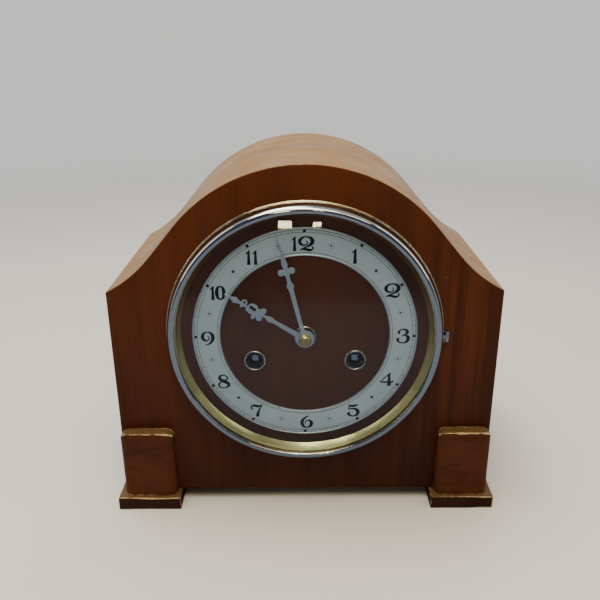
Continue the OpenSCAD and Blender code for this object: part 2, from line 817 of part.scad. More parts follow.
// Anchor: two arms that straddle the escape wheel
anchor_clear = 0.9;
module anchor() {
  color("#a8a8a4") at_dial() {
    translate([anchor_at[0], anchor_at[1], 0]) slab(inner_d + 23.4, inner_d + 25.4)
      difference() {
        polygon([[-9.6, -8.6], [-8.6, -7.2], [-10.2, -3.4], [-3, 1.8], [3, 1.8], [10.2, -3.4],
          [8.6, -7.2], [9.6, -8.6], [11.2, -7.4], [12, -2.9], [3.4, 3], [-3.4, 3], [-12, -2.9],
          [-11.2, -7.4]]);
        translate([escape_at[0] - anchor_at[0], escape_at[1] - anchor_at[1]])
          circle(r = escape_r + anchor_clear);
      }
    translate([anchor_at[0], anchor_at[1], 0]) slab(inner_d + 23.4, inner_d + 25.4)
      translate([-1.4, 0]) square([2.8, 2.4]);
    rod(anchor_at, pivot_r, movement_d - 0.4, cock_d + 1.2);
  }
}

// Crutch: a lever on the anchor's arbor whose fork holds the pendulum rod
cock_d = 58;
crutch_d = 56;
crutch_t = 0.9;
pendulum_d = 61.5;
module crutch() {
  color("#c8a050") at_dial() translate([anchor_at[0], anchor_at[1], 0]) {
    slab(crutch_d, crutch_d + crutch_t) difference() {
      union() {
        circle(r = 2.2);
        polygon([[-1, 0], [1, 0], [0.8, -30], [2, -31], [2, -34], [-2, -34], [-2, -31],
          [-0.8, -30]]);
      }
      circle(r = pivot_r);
    }
    for (x = [-2, 1.2]) translate([x, -34, -pendulum_d - 1.4])
      cube([0.8, 3, pendulum_d + 1.4 - crutch_d - crutch_t]);
  }
}

module back_cock() {
  color("#b89048") at_dial() translate([anchor_at[0], anchor_at[1], 0]) {
    difference() {
      slab(cock_d, cock_d + 1.4) polygon([[-12, -3.5], [12, -3.5], [12, 4.5], [-12, 4.5]]);
      rod([0, 0], pivot_r + run, cock_d - 1, cock_d + 3);
    }
    for (x = [-12, 9]) slab(outer_d, cock_d) translate([x, -3.5]) square([3, 8]);
    // Stud that the pendulum hangs from, on the anchor's line
    difference() {
      rod([0, 0], 1.6, cock_d + 1.4, pendulum_d + 1.6);
      rod([0, 0], pivot_r + run, cock_d, cock_d + 2);
    }
  }
}

module pendulum_rod() {
  rod_r = 0.8;
  color("#b0b0a8") at_dial() translate([anchor_at[0], anchor_at[1], 0]) {
    slab(pendulum_d - 1, pendulum_d + 1) difference() {
      circle(r = 3);
      circle(r = 1.6 + run);
    }
    translate([0, -2.6, -pendulum_d]) rotate([90, 0, 0])
      cylinder(r = rod_r, h = pendulum_len + 18);
  }
}

bob_r = 15;
module pendulum_bob() {
  color("#c8a050") at_dial() translate([anchor_at[0], anchor_at[1] - pendulum_len, -pendulum_d])
    difference() {
      rotate_extrude() polygon([[0, -3.4], [6, -3.2], [11, -2.5], [bob_r - 0.6, -1.7],
        [bob_r, -1.3], [bob_r, 1.3], [bob_r - 0.6, 1.7], [11, 2.5], [6, 3.2], [0, 3.4]]);
      rotate([90, 0, 0]) translate([0, 0, -20]) cylinder(r = 0.8, h = 40);
    }
}

module rating_nut() {
  color("#c8a050") at_dial()
    translate([anchor_at[0], anchor_at[1] - pendulum_len - bob_r - 0.4, -pendulum_d])
      rotate([90, 0, 0]) difference() {
        cylinder(r = 3, h = 2.6);
        translate([0, 0, -1]) cylinder(r = 0.8, h = 5);
      }
}

// Striking train
second_leaf_turn = meshed(strike_at, second_at, great_turn, great, big_leaves);
second_turn = 0;
pin_leaf_turn = meshed(second_at, pin_at, second_turn, second_teeth, small_leaves);
pin_turn = 0;
lock_leaf_turn = meshed(pin_at, lock_at, pin_turn, pin_teeth, small_leaves);
lock_turn = 0;
warn_leaf_turn = meshed(lock_at, warn_at, lock_turn, lock_teeth, small_leaves);
warn_turn = 0;
fly_leaf_turn = meshed(warn_at, fly_at, warn_turn, warn_teeth, small_leaves);

module strike_barrel() {
  color("#c8a050") at_dial() barrel(strike_at, great_turn);
}

module strike_mainspring() {
  color("#505860") at_dial() mainspring(strike_at);
}

module strike_winding_arbor() {
  color("#a8a8a4") at_dial() winding_arbor(strike_at, -1);
}

module strike_click() {
  color("#a8a8a4") at_dial() click(-1);
}

module strike_second_wheel() {
  color("#c8a050") at_dial()
    crossed_wheel(second_at, second_teeth, second_m, second_turn, 2, 1.2, 4, 1.2);
  color("#a8a8a4") at_dial() {
    arbor(second_at, 1.2);
    pinion(second_at, big_leaves, great_m, second_leaf_turn, inner_d + drum_back - leaf_reach,
      inner_d + drum_back + great_t + leaf_reach, 1.2);
  }
}

lift_pins = 8;
lift_pin_r = 0.5;
lift_circle = 10.8;
module pin_wheel() {
  color("#c8a050") at_dial() {
    wheel(pin_at, pin_teeth, pin_m, pin_turn, inner_d + 8, inner_d + 9.2, 0.9);
    for (k = [0:lift_pins - 1])
      rod(at_angle(pin_at, lift_circle, k * 360 / lift_pins), lift_pin_r, inner_d + 9.2,
        inner_d + 12.6);
  }
  color("#a8a8a4") at_dial() {
    arbor(pin_at, 0.9);
    pinion(pin_at, small_leaves, second_m, pin_leaf_turn, inner_d + 1.5, inner_d + 3.7, 0.9);
  }
}

module locking_wheel() {
  color("#c8a050") at_dial()
    crossed_wheel(lock_at, lock_teeth, fine_m, lock_turn, 18, 1, 3, 0.82);
  color("#a8a8a4") at_dial() {
    arbor(lock_at, 0.82);
    pinion(lock_at, small_leaves, pin_m, lock_leaf_turn, inner_d + 7.6, inner_d + 9.6, 0.82);
  }
}

module warning_wheel() {
  color("#c8a050") at_dial()
    crossed_wheel(warn_at, warn_teeth, fine_m, warn_turn, 22, 0.8, 3, 0.82);
  color("#a8a8a4") at_dial() {
    arbor(warn_at, 0.82);
    pinion(warn_at, small_leaves, fine_m, warn_leaf_turn, inner_d + 17.6, inner_d + 19.4, 0.82);
  }
}

// Fly: a thin vane that steadies the striking
module fly() {
  vane = 7.6;
  color("#c0c0bc") at_dial() {
    translate([fly_at[0] - vane, fly_at[1] + 0.82, -inner_d - 20.4]) cube([2 * vane, 0.3, 6.8]);
    translate([fly_at[0], fly_at[1], 0]) slab(inner_d + 13.6, inner_d + 20.4) difference() {
      circle(r = 1.3);
      circle(r = 0.82);
    }
  }
  color("#a8a8a4") at_dial() {
    arbor(fly_at, 0.82);
    pinion(fly_at, small_leaves, fine_m, fly_leaf_turn, inner_d + 21.4, inner_d + 23.4, 0.82);
  }
}

// Hammer: an arbor with a lifting tail between the plates and an arm with the head behind them
head_at = [-25, gong_z + 6.8 - dial_z];
head_r = 4.6;
arm_d = 77;
module strike_hammer() {
  color("#a8a8a4") at_dial() {
    rod(hammer_at, centre_arbor_r, movement_d - 0.4, arm_d + 2);
    slab(inner_d + 10.4, inner_d + 11.6) difference() {
      polygon([hammer_at + [2, -1], hammer_at + [2, 31], [-28.2, 17.6], [-28.2, 18.8],
        hammer_at + [-0.4, 35], hammer_at + [-2, 31], hammer_at + [-2, -1]]);
      translate(hammer_at) circle(r = centre_arbor_r);
    }
    slab(arm_d, arm_d + 1.6) difference() {
      polygon([hammer_at + [-2, -1.6], head_at + [-1.6, -1.2], head_at + [1.6, 1.2],
        hammer_at + [2, 1.6]]);
      translate(hammer_at) circle(r = centre_arbor_r);
      translate(head_at) circle(r = 1.5);
    }
  }
  color("#c8a050") at_dial() {
    rod(head_at, 1.5, gong_depths[0] - 4, gong_depths[1] + 4);
    rod(head_at, head_r, gong_depths[0] - 3, gong_depths[0] + 2.6);
    rod(head_at, head_r, gong_depths[1] - 2.6, gong_depths[1] + 3);
  }
}

module gong_block() {
  block_w = 22;
  d0 = gong_depths[0] - 8;
  d1 = gong_depths[1] + 8;
  color("#403c38") at_face() difference() {
    union() {
      translate([gong_block_x, d0, base_top]) cube([block_w, d1 - d0, 6]);
      translate([gong_block_x, d0 + 3, base_top + 6])
        cube([block_w - 8, d1 - d0 - 6, gong_z + 6 - base_top - 6]);
    }
    for (d = gong_depths) translate([gong_block_x - 1, d, gong_z]) rotate([0, 90, 0])
      cylinder(r = 0.9, h = 11);
    for (d = [d0 + 5, d1 - 5]) translate([gong_block_x + block_w - 4, d, base_top - 1])
      cylinder(r = 1.6, h = 8);
  }
}

module gong_rods() {
  root = 7;
  color("#8c8c88") at_face() for (d = gong_depths) {
    translate([gong_block_x - root, d, gong_z]) rotate([0, 90, 0])
      cylinder(r = 0.9, h = root + 10);
    translate([rod_end_x, d, gong_z]) rotate([0, 90, 0])
      cylinder(r = 1.5, h = gong_block_x - root - rod_end_x);
  }
}

front_panel();
left_side();
right_side();
arched_top();
base_board();
back_panel();
corner_blocks();
pilasters();
front_foot_plates();
rear_feet();
rear_door();
door_frame_hinges();
door_leaf_hinges();
door_knob();
door_bullet_catch();
chapter_ring();
dial_grommets();
bezel();
sight_ring();
bezel_glass();
bezel_hinge_plate();
bezel_hinge_tab();
hour_hand();
minute_hand();
hand_nut();
front_plate();
back_plate();
plate_pillars();
pillar_nuts();
movement_posts();
post_screws();
cannon_pinion();
minute_wheel();
hour_wheel();
going_barrel();
going_mainspring();
going_winding_arbor();
going_click();
intermediate_wheel();
centre_wheel();
third_wheel();
escape_wheel();
anchor();
crutch();
back_cock();
pendulum_rod();
pendulum_bob();
rating_nut();
strike_barrel();
strike_mainspring();
strike_winding_arbor();
strike_click();
strike_second_wheel();
pin_wheel();
locking_wheel();
warning_wheel();
fly();
strike_hammer();
gong_block();
gong_rods();
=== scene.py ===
import json
import math

import bmesh
import bpy
import numpy as np
from mathutils import Matrix, Vector


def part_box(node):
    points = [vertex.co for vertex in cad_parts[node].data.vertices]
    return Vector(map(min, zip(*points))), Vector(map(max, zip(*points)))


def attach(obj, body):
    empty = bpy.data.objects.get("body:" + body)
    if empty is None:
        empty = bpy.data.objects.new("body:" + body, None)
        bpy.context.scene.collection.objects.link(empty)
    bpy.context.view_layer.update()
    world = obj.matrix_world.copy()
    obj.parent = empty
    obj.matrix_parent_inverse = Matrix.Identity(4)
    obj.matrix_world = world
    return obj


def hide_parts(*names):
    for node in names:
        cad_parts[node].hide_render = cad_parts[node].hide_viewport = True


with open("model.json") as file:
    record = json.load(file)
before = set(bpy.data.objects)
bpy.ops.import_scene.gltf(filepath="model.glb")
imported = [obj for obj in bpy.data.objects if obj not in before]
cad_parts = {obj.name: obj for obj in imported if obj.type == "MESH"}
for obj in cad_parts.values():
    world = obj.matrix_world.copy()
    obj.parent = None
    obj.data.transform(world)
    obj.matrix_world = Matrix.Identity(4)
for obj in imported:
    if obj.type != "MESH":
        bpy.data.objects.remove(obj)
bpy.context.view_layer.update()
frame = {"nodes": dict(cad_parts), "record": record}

MM = 0.001
nodes = frame["nodes"]
record = frame["record"]
body_of = {n: body for body, members in record["behaviour"]["bodies"].items() for n in members}
slot_of = {part["node"]: part["material_slot"] for part in record["subparts"]}
face_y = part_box("front_panel")[0].y
ring_lo, ring_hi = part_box("chapter_ring")
dial_z = (ring_lo.z + ring_hi.z) / 2
side_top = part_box("left_side")[1].z


def dial_point(x, y, p):
    """A point of the dial's frame, in metres in the frame that all nodes share."""
    return Vector((x * MM, face_y - p * MM, dial_z + y * MM))


# ---------------------------------------------------------------- node trees

MIX_A, MIX_B, MIX_RESULT = 6, 7, 2  # the colour sockets of Blender's Mix node


class Nodes:
    """A node tree, with short calls for the nodes that the world and the looks share."""

    def __init__(self, tree):
        self.tree = tree

    def add(self, kind, **settings):
        node = self.tree.nodes.new("ShaderNode" + kind)
        for key, value in settings.items():
            setattr(node, key, value)
        return node

    def feed(self, socket, value):
        if isinstance(value, bpy.types.NodeSocket):
            self.tree.links.new(value, socket)
        else:
            socket.default_value = value

    def parts(self, vector):
        node = self.add("SeparateXYZ")
        self.feed(node.inputs[0], vector)
        return node.outputs

    def math(self, operation, a, b=0.0, c=0.0):
        node = self.add("Math", operation=operation)
        for socket, value in zip(node.inputs, (a, b, c)):
            self.feed(socket, value)
        return node.outputs[0]

    def span(self, value, low, high, to_low=0.0, to_high=1.0, curve="SMOOTHSTEP"):
        """The value's place between low and high, carried over to the other range."""
        node = self.add("MapRange", interpolation_type=curve)
        for key, v in (("Value", value), ("From Min", low), ("From Max", high),
                       ("To Min", to_low), ("To Max", to_high)):
            self.feed(node.inputs[key], v)
        return node.outputs["Result"]

    def ramp(self, value, stops):
        """A colour ramp; its ends come first in the stops."""
        node = self.add("ValToRGB")
        elements = node.color_ramp.elements
        for k, (at, colour) in enumerate(stops):
            element = elements[k] if k < 2 else elements.new(at)
            element.position = at
            element.color = (*colour, 1)
        self.feed(node.inputs[0], value)
        return node.outputs["Color"]

    def mix(self, share, a, b, blend="MIX"):
        node = self.add("Mix", data_type="RGBA", blend_type=blend)
        self.feed(node.inputs[0], share)
        for k, colour in ((MIX_A, a), (MIX_B, b)):
            plain = not isinstance(colour, bpy.types.NodeSocket)
            self.feed(node.inputs[k], (*colour, 1) if plain else colour)
        return node.outputs[MIX_RESULT]


class Shader(Nodes):
    """A material."""

    def __init__(self, name):
        self.mat = bpy.data.materials.new(name)
        self.mat.use_nodes = True
        super().__init__(self.mat.node_tree)
        self.main = self.tree.nodes["Principled BSDF"]

    def attribute(self, name, output="Vector"):
        return self.add("Attribute", attribute_name=name).outputs[output]

    def place(self):
        return self.add("TexCoord").outputs["Object"]

    def noise(self, where, scale, detail=3.0, rough=0.5, offset=(0, 0, 0)):
        mapping = self.add("Mapping")
        self.feed(mapping.inputs["Vector"], where)
        mapping.inputs["Scale"].default_value = scale
        mapping.inputs["Location"].default_value = offset
        noise = self.add("TexNoise")
        self.feed(noise.inputs["Vector"], mapping.outputs[0])
        noise.inputs["Scale"].default_value = 1
        noise.inputs["Detail"].default_value = detail
        noise.inputs["Roughness"].default_value = rough
        return noise.outputs[0]

    def bump(self, height, strength, distance):
        node = self.add("Bump")
        node.inputs["Strength"].default_value = strength
        node.inputs["Distance"].default_value = distance * MM
        self.feed(node.inputs["Height"], height)
        self.feed(self.main.inputs["Normal"], node.outputs[0])

    def set(self, **values):
        for key, value in values.items():
            self.feed(self.main.inputs[key.replace("_", " ")], value)

    def surface(self, share, first, second):
        """Makes the surface a mix of two shaders, with this share of the second."""
        both = self.add("MixShader")
        for socket, value in zip(both.inputs, (share, first, second)):
            self.feed(socket, value)
        self.feed(self.tree.nodes["Material Output"].inputs["Surface"], both.outputs[0])


def even(scale):
    """A noise scale that is the same along all three axes."""
    return (scale, scale, scale)


# ---------------------------------------------------------------- camera, light and floor

# The photo's camera, fitted to the clock's edges: its place in millimetres in front of the panel,
# above the floor and right of the middle, its turns in radians, its lens and film in millimetres
# and its nearest and furthest view in metres.
CAMERA_AWAY, CAMERA_HEIGHT, CAMERA_ASIDE = 398.67, 305.66, -0.97
CAMERA_PITCH, CAMERA_YAW, CAMERA_ROLL = math.radians(21.21), -0.005, -0.0074
CAMERA_LENS, CAMERA_FILM = 40.816, 36
CAMERA_NEAR, CAMERA_FAR = 0.01, 50

# Brightness of the room from straight ahead of the clock (0) to straight behind it (1), with the
# two ends first, and the plain wall that the camera itself sees.
ROOM = [(0.0, (0.05, 0.058, 0.08)), (1.0, (0.9, 0.89, 0.86)), (0.34, (0.075, 0.085, 0.11)),
        (0.5, (0.55, 0.55, 0.54))]
WALL = (0.74, 0.735, 0.72)

# The floor, in metres, and how far from the clock it begins and ends to melt into the room.
FLOOR_RADIUS, FLOOR_SIDES = 3, 96
FLOOR_FADE = (0.5, 1.6)
FLOOR_SEEN, FLOOR_MIRRORED = (0.72, 0.71, 0.69), (0.14, 0.165, 0.225)


def link(obj):
    """Puts the object in the scene, and hands it back."""
    bpy.context.scene.collection.objects.link(obj)
    return obj


def add_camera():
    """The photo's viewpoint, tilted down at the clock."""
    data = bpy.data.cameras.new("camera")
    data.lens = CAMERA_LENS
    data.sensor_width = CAMERA_FILM
    data.clip_start = CAMERA_NEAR
    data.clip_end = CAMERA_FAR
    level = math.cos(CAMERA_PITCH)
    ahead = Vector((math.sin(CAMERA_YAW) * level, math.cos(CAMERA_YAW) * level, -math.sin(CAMERA_PITCH)))
    right = Vector((math.cos(CAMERA_YAW), -math.sin(CAMERA_YAW), 0))
    up = right.cross(ahead)
    turned_right = right * math.cos(CAMERA_ROLL) + up * math.sin(CAMERA_ROLL)
    turned_up = -right * math.sin(CAMERA_ROLL) + up * math.cos(CAMERA_ROLL)
    axes = Matrix((turned_right, turned_up, -ahead)).transposed()
    place = Vector((CAMERA_ASIDE * MM, face_y - CAMERA_AWAY * MM, CAMERA_HEIGHT * MM))
    camera = link(bpy.data.objects.new("camera", data))
    camera.matrix_world = Matrix.Translation(place) @ axes.to_4x4()
    bpy.context.scene.camera = camera


def add_softbox(name, place, target, size, power, colour):
    """An area lamp. Its place, target, width and height are in metres, its power in watts."""
    data = bpy.data.lights.new(name, "AREA")
    data.shape = "RECTANGLE"
    data.size, data.size_y = size
    data.energy = power
    data.color = colour
    light = link(bpy.data.objects.new(name, data))
    light.location = place
    light.rotation_euler = (Vector(target) - Vector(place)).to_track_quat("-Z", "Y").to_euler()


def add_overhead():
    """Three strips above the clock, from in front of it to behind it."""
    first_depth, step, height, aside = -0.5, 0.38, 1.3, -0.15
    size, power = (1.2, 0.2), 7.5
    for strip, tint in enumerate(((1, 0.86, 0.62), (1, 0.95, 0.87), (1, 0.97, 0.92))):
        depth = first_depth + step * strip
        add_softbox(f"overhead_{strip}", (aside, depth, height), (0, depth * 0.3, 0.1), size, power, tint)


def add_lamps():
    """Soft studio light."""
    add_overhead()
    # A low warm strip that the sight ring and the foot of the bezel mirror.
    add_softbox("warm", (0.15, -0.64, 0.87), (0, 0, 0.05), (0.9, 0.14), 2.5, (1, 0.78, 0.42))
    # Two windows, which show as small bright panes at the top of the glass.
    away, height, target, tint = -3.0, 0.95, (0, 0, 0.2), (1, 0.85, 0.45)
    add_softbox("window_left", (-0.32, away, height), target, (0.23, 0.12), 3.6, tint)
    add_softbox("window_right", (0.22, away, height), target, (0.14, 0.08), 1.5, tint)
    # An upright strip on each side, for the flanks of the bezel.
    aside, size, dial, tint = 1.1, (0.16, 0.95), (0, 0, 0.13), (1, 0.88, 0.66)
    for name, side in (("left", -1), ("right", 1)):
        add_softbox("beside_" + name, (side * aside, -0.3, 0.72), dial, size, 2, tint)


def add_world():
    """A room that is dimmer and cooler in front of the clock than behind it."""
    world = bpy.data.worlds.new("studio")
    bpy.context.scene.world = world
    world.use_nodes = True
    tree = Nodes(world.node_tree)
    background = world.node_tree.nodes["Background"]
    towards = tree.parts(tree.add("TexCoord").outputs["Generated"])["Y"]
    room = tree.ramp(tree.span(towards, -1, 1, curve="LINEAR"), ROOM)
    seen = tree.add("LightPath").outputs["Is Camera Ray"]
    tree.feed(background.inputs["Color"], tree.mix(seen, room, WALL))


def floor_look():
    """Pale, and melting into the room some way off. In reflections it is a muted slate, so that
    polished metal keeps its contrast."""
    look = Shader("floor")
    mirrored = look.add("LightPath").outputs["Is Glossy Ray"]
    colour = look.mix(mirrored, FLOOR_SEEN, FLOOR_MIRRORED)
    look.set(Base_Color=colour, Roughness=0.9, Specular_IOR_Level=0.1)
    away = look.add("VectorMath", operation="LENGTH")
    look.feed(away.inputs[0], look.place())
    melted = look.span(away.outputs["Value"], *FLOOR_FADE)
    look.surface(melted, look.main.outputs[0], look.add("BsdfTransparent").outputs[0])
    return look.mat


def add_floor():
    """A plain disc that the clock stands on."""
    bm = bmesh.new()
    bmesh.ops.create_circle(bm, cap_ends=True, segments=FLOOR_SIDES, radius=FLOOR_RADIUS)
    mesh = bpy.data.meshes.new("floor")
    bm.to_mesh(mesh)
    bm.free()
    mesh.materials.append(floor_look())
    link(bpy.data.objects.new("floor", mesh))


# ---------------------------------------------------------------- wood

MAHOGANY = (0.083, 0.0188, 0.0028)
TRIM = (0.074, 0.0195, 0.0055)
PLATE = (0.032, 0.0105, 0.0060)
CARCASE = (0.20, 0.10, 0.045)
# Tones that faces looking up take, as painted light from overhead.
TOP_LIGHT_TONE = (0.245, 0.128, 0.036)
TOP_LIGHT_TRIM_TONE = (0.115, 0.067, 0.027)
BARE_PALE, BARE_DARK = (0.62, 0.45, 0.24), (0.4, 0.26, 0.12)
SPECK = (0.62, 0.45, 0.3)

# Noise scales per millimetre across, along and through the grain.
BANDS = (0.03, 0.004, 0.02)
STREAKS = (0.36, 0.009, 0.1)
FIGURE = (0.11, 0.0035, 0.05)
FIBRES = (3.2, 0.06, 1)
PORES = (4.5, 0.22, 1)
FLAKES = (0.2, 0.14, 0.3)
RUBS = (0.04, 0.05, 0.05)
SPECKS = (0.55, 0.45, 0.5)
HAZE = (0.06, 0.04, 0.05)


def tones(base, spread):
    """Ramp stops round a base colour: its darker, its lighter and its own tone."""
    return [(0.34, tuple(c * (1 - spread) for c in base)),
            (0.66, tuple(c * (1 + spread) for c in base)), (0.5, base)]


def wood_tone(look, grain, fibres, offset):
    """Bands, streaks and fibres added up, about 0.5 on average."""
    bands = look.noise(grain, BANDS, 3, 0.55, offset)
    streaks = look.noise(grain, STREAKS, 5, 0.62, offset)
    tone = look.math("ADD", look.math("MULTIPLY", bands, 0.42), look.math("MULTIPLY", streaks, 0.42))
    return look.math("ADD", tone, look.math("MULTIPLY", fibres, 0.16))


def figured(look, grain, tone, strength):
    """The tone with dark streaks on the right of the front, from 40 to 95 mm off the middle."""
    right = look.span(look.parts(grain)["X"], 40, 95, 0, strength)
    dark = look.span(look.noise(grain, FIGURE, 3, 0.6, (57, 4, 3)), 0.42, 0.6)
    return look.math("SUBTRACT", tone, look.math("MULTIPLY", right, dark))


def paint_foot_shade(look, grain, colour, painted_foot_shade):
    """The colour with painted shade, darker from 150 mm down to 5 mm above the floor, and in its blue the
    least, which paints a cool reflection from below.
    """
    low = look.span(look.parts(grain)["Y"], 5, 150, painted_foot_shade, 1)
    shade = look.add("CombineColor")
    for socket, power in zip(shade.inputs, (1, 1, 0.4)):
        look.feed(socket, look.math("POWER", low, power))
    return look.mix(1.0, colour, shade.outputs[0], "MULTIPLY")


def worn_away(look, grain, reach, ragged, offset):
    """Where the varnish has gone: within reach of an arris, in millimetres. Flakes and rubs move
    that border in and out, by up to about half of ragged."""
    flakes = look.noise(grain, FLAKES, 5, 0.72, offset)
    rubs = look.noise(grain, RUBS, 2, 0.5, (7, 3, 1))
    wander = look.math("SUBTRACT", look.math("ADD", flakes, rubs), 1.0)
    near = look.math("MULTIPLY_ADD", wander, ragged, look.attribute("edge", "Fac"))
    return look.span(near, reach * 0.45, reach, 1, 0)


def wood(name, base, painted_top_light, spread=0.45, reach=0.1, ragged=0.9, rough=0.42, shine=0.15, figure=0.0,
         painted_foot_shade=1.0, offset=(0, 0, 0)):
    """Varnished wood. The grain attribute holds millimetres across, along and through the grain,
    the edge attribute the distance in millimetres from the nearest arris, and a third attribute
    how far the face looks up: there the wood takes a lighter tone, painted light from overhead."""
    look = Shader(name)
    grain = look.attribute("grain")
    fibres = look.noise(grain, FIBRES, 3, 0.6, offset)
    tone = wood_tone(look, grain, fibres, offset)
    if figure:
        tone = figured(look, grain, tone, figure)
    colour = look.ramp(tone, tones(base, spread))
    # Painted shade: darker towards the foot of the panel.
    if painted_foot_shade < 1:
        colour = paint_foot_shade(look, grain, colour, painted_foot_shade)
    # Painted light from overhead: faces that look up take the lighter tone.
    colour = look.mix(look.attribute("painted_top_light", "Fac"), colour, look.ramp(tone, tones(painted_top_light, spread * 0.45)))
    pitted = look.span(look.noise(grain, PORES, 1, 0.5, offset), 0.6, 0.74, 0, 0.5)
    colour = look.mix(pitted, colour, tuple(c * 0.3 for c in base))
    bare = worn_away(look, grain, reach, ragged, offset)
    colour = look.mix(bare, colour, look.mix(look.span(fibres, 0.35, 0.65), BARE_PALE, BARE_DARK))
    specks = look.span(look.noise(grain, SPECKS, 2, 0.5, (31, 5, 2)), 0.8, 0.83)
    colour = look.mix(specks, colour, SPECK)
    haze = look.span(look.noise(grain, HAZE, 4, 0.6, (3, 9, 4)), 0.3, 0.75, rough - 0.08, rough + 0.1)
    roughness = look.math("ADD", haze, look.math("MULTIPLY", bare, 0.15))
    look.set(Base_Color=colour, Roughness=roughness, Specular_IOR_Level=shine)
    relief = look.math("SUBTRACT", look.math("MULTIPLY", fibres, 0.25), pitted)
    relief = look.math("SUBTRACT", relief, look.math("MULTIPLY", bare, 0.6))
    look.bump(relief, 0.3, 0.06)
    return look.mat


# ---------------------------------------------------------------- metal, glass and ink

def metal(name, colour, tarnish, rough, marks=1200, patchy=0.35, relief=0.15, uneven=0.25):
    """Metal with tarnish in soft patches, and with marks, so many to the metre, that make its
    roughness uneven."""
    look = Shader(name)
    where = look.place()
    patches = look.noise(where, even(90), 5, 0.65)
    marked = look.noise(where, even(marks), 3, 0.6)
    share = look.math("MULTIPLY", look.span(patches, 0.42, 0.75), patchy)
    base = look.mix(share, colour, tarnish)
    base = look.mix(look.span(marked, 0.3, 0.7, 0, 0.22), base, tarnish)
    roughness = look.span(marked, 0.25, 0.75, rough * (1 - uneven), rough * (1 + uneven))
    roughness = look.math("ADD", roughness, look.math("MULTIPLY", share, 0.25))
    look.set(Base_Color=base, Metallic=1.0, Roughness=roughness)
    look.bump(marked, relief, 0.02)
    return look.mat


def chrome():
    """Bright plate with faint smears and scratches and a few tarnished pits."""
    look = Shader("chrome")
    where = look.place()
    smears = look.noise(where, even(35), 4, 0.6)
    scratches = look.noise(where, (900, 260, 900), 2, 0.5)
    pitted = look.span(look.noise(where, even(700), 1, 0.5), 0.74, 0.8)
    base = look.mix(look.math("MULTIPLY", pitted, 0.7), (0.55, 0.56, 0.58), (0.2, 0.17, 0.12))
    roughness = look.span(smears, 0.3, 0.75, 0.035, 0.11)
    roughness = look.math("ADD", roughness, look.math("MULTIPLY", pitted, 0.3))
    look.set(Base_Color=base, Metallic=1.0, Roughness=roughness)
    look.bump(look.math("SUBTRACT", look.math("MULTIPLY", scratches, 0.3), pitted), 0.025, 0.02)
    return look.mat


def silvered():
    """Matt silvered brass, very slightly grained and stained."""
    look = Shader("silvered")
    where = look.place()
    cloud = look.noise(where, even(28), 4, 0.6)
    tooth = look.noise(where, even(2400), 2, 0.5)
    spots = look.noise(where, even(260), 2, 0.5)
    base = look.mix(look.span(cloud, 0.3, 0.7), (0.68, 0.72, 0.73), (0.61, 0.655, 0.67))
    base = look.mix(look.span(tooth, 0.3, 0.7, 0, 0.25), base, (0.47, 0.49, 0.5))
    base = look.mix(look.span(spots, 0.72, 0.8, 0, 0.5), base, (0.2, 0.19, 0.16))
    look.set(Base_Color=base, Metallic=0.4, Roughness=look.span(cloud, 0.3, 0.7, 0.5, 0.58))
    look.bump(tooth, 0.12, 0.02)
    return look.mat


def glass():
    """Thin clear glass. It mirrors a little, and more at a slant, and lets the rest straight
    through, with a faint blue tint."""
    look = Shader("glass")
    slant = look.add("LayerWeight").outputs["Facing"]
    mirrored = look.math("MULTIPLY_ADD", look.math("POWER", slant, 5), 0.9, 0.035)
    clear = look.add("BsdfTransparent")
    clear.inputs["Color"].default_value = (0.89, 0.94, 0.98, 1)
    mirror = look.add("BsdfAnisotropic")
    smears = look.noise(look.place(), even(22), 4, 0.6)
    look.feed(mirror.inputs["Roughness"], look.span(smears, 0.35, 0.75, 0.0, 0.02))
    look.surface(mirrored, clear.outputs[0], mirror.outputs[0])
    look.tree.nodes.remove(look.main)
    return look.mat


def ink():
    """Black print, a little worn."""
    look = Shader("ink")
    worn = look.noise(look.place(), even(1500), 3, 0.6)
    colour = look.mix(look.span(worn, 0.35, 0.75), (0.003, 0.004, 0.006), (0.012, 0.014, 0.018))
    roughness = look.span(worn, 0.3, 0.7, 0.45, 0.65)
    look.set(Base_Color=colour, Roughness=roughness, Specular_IOR_Level=0.15)
    return look.mat


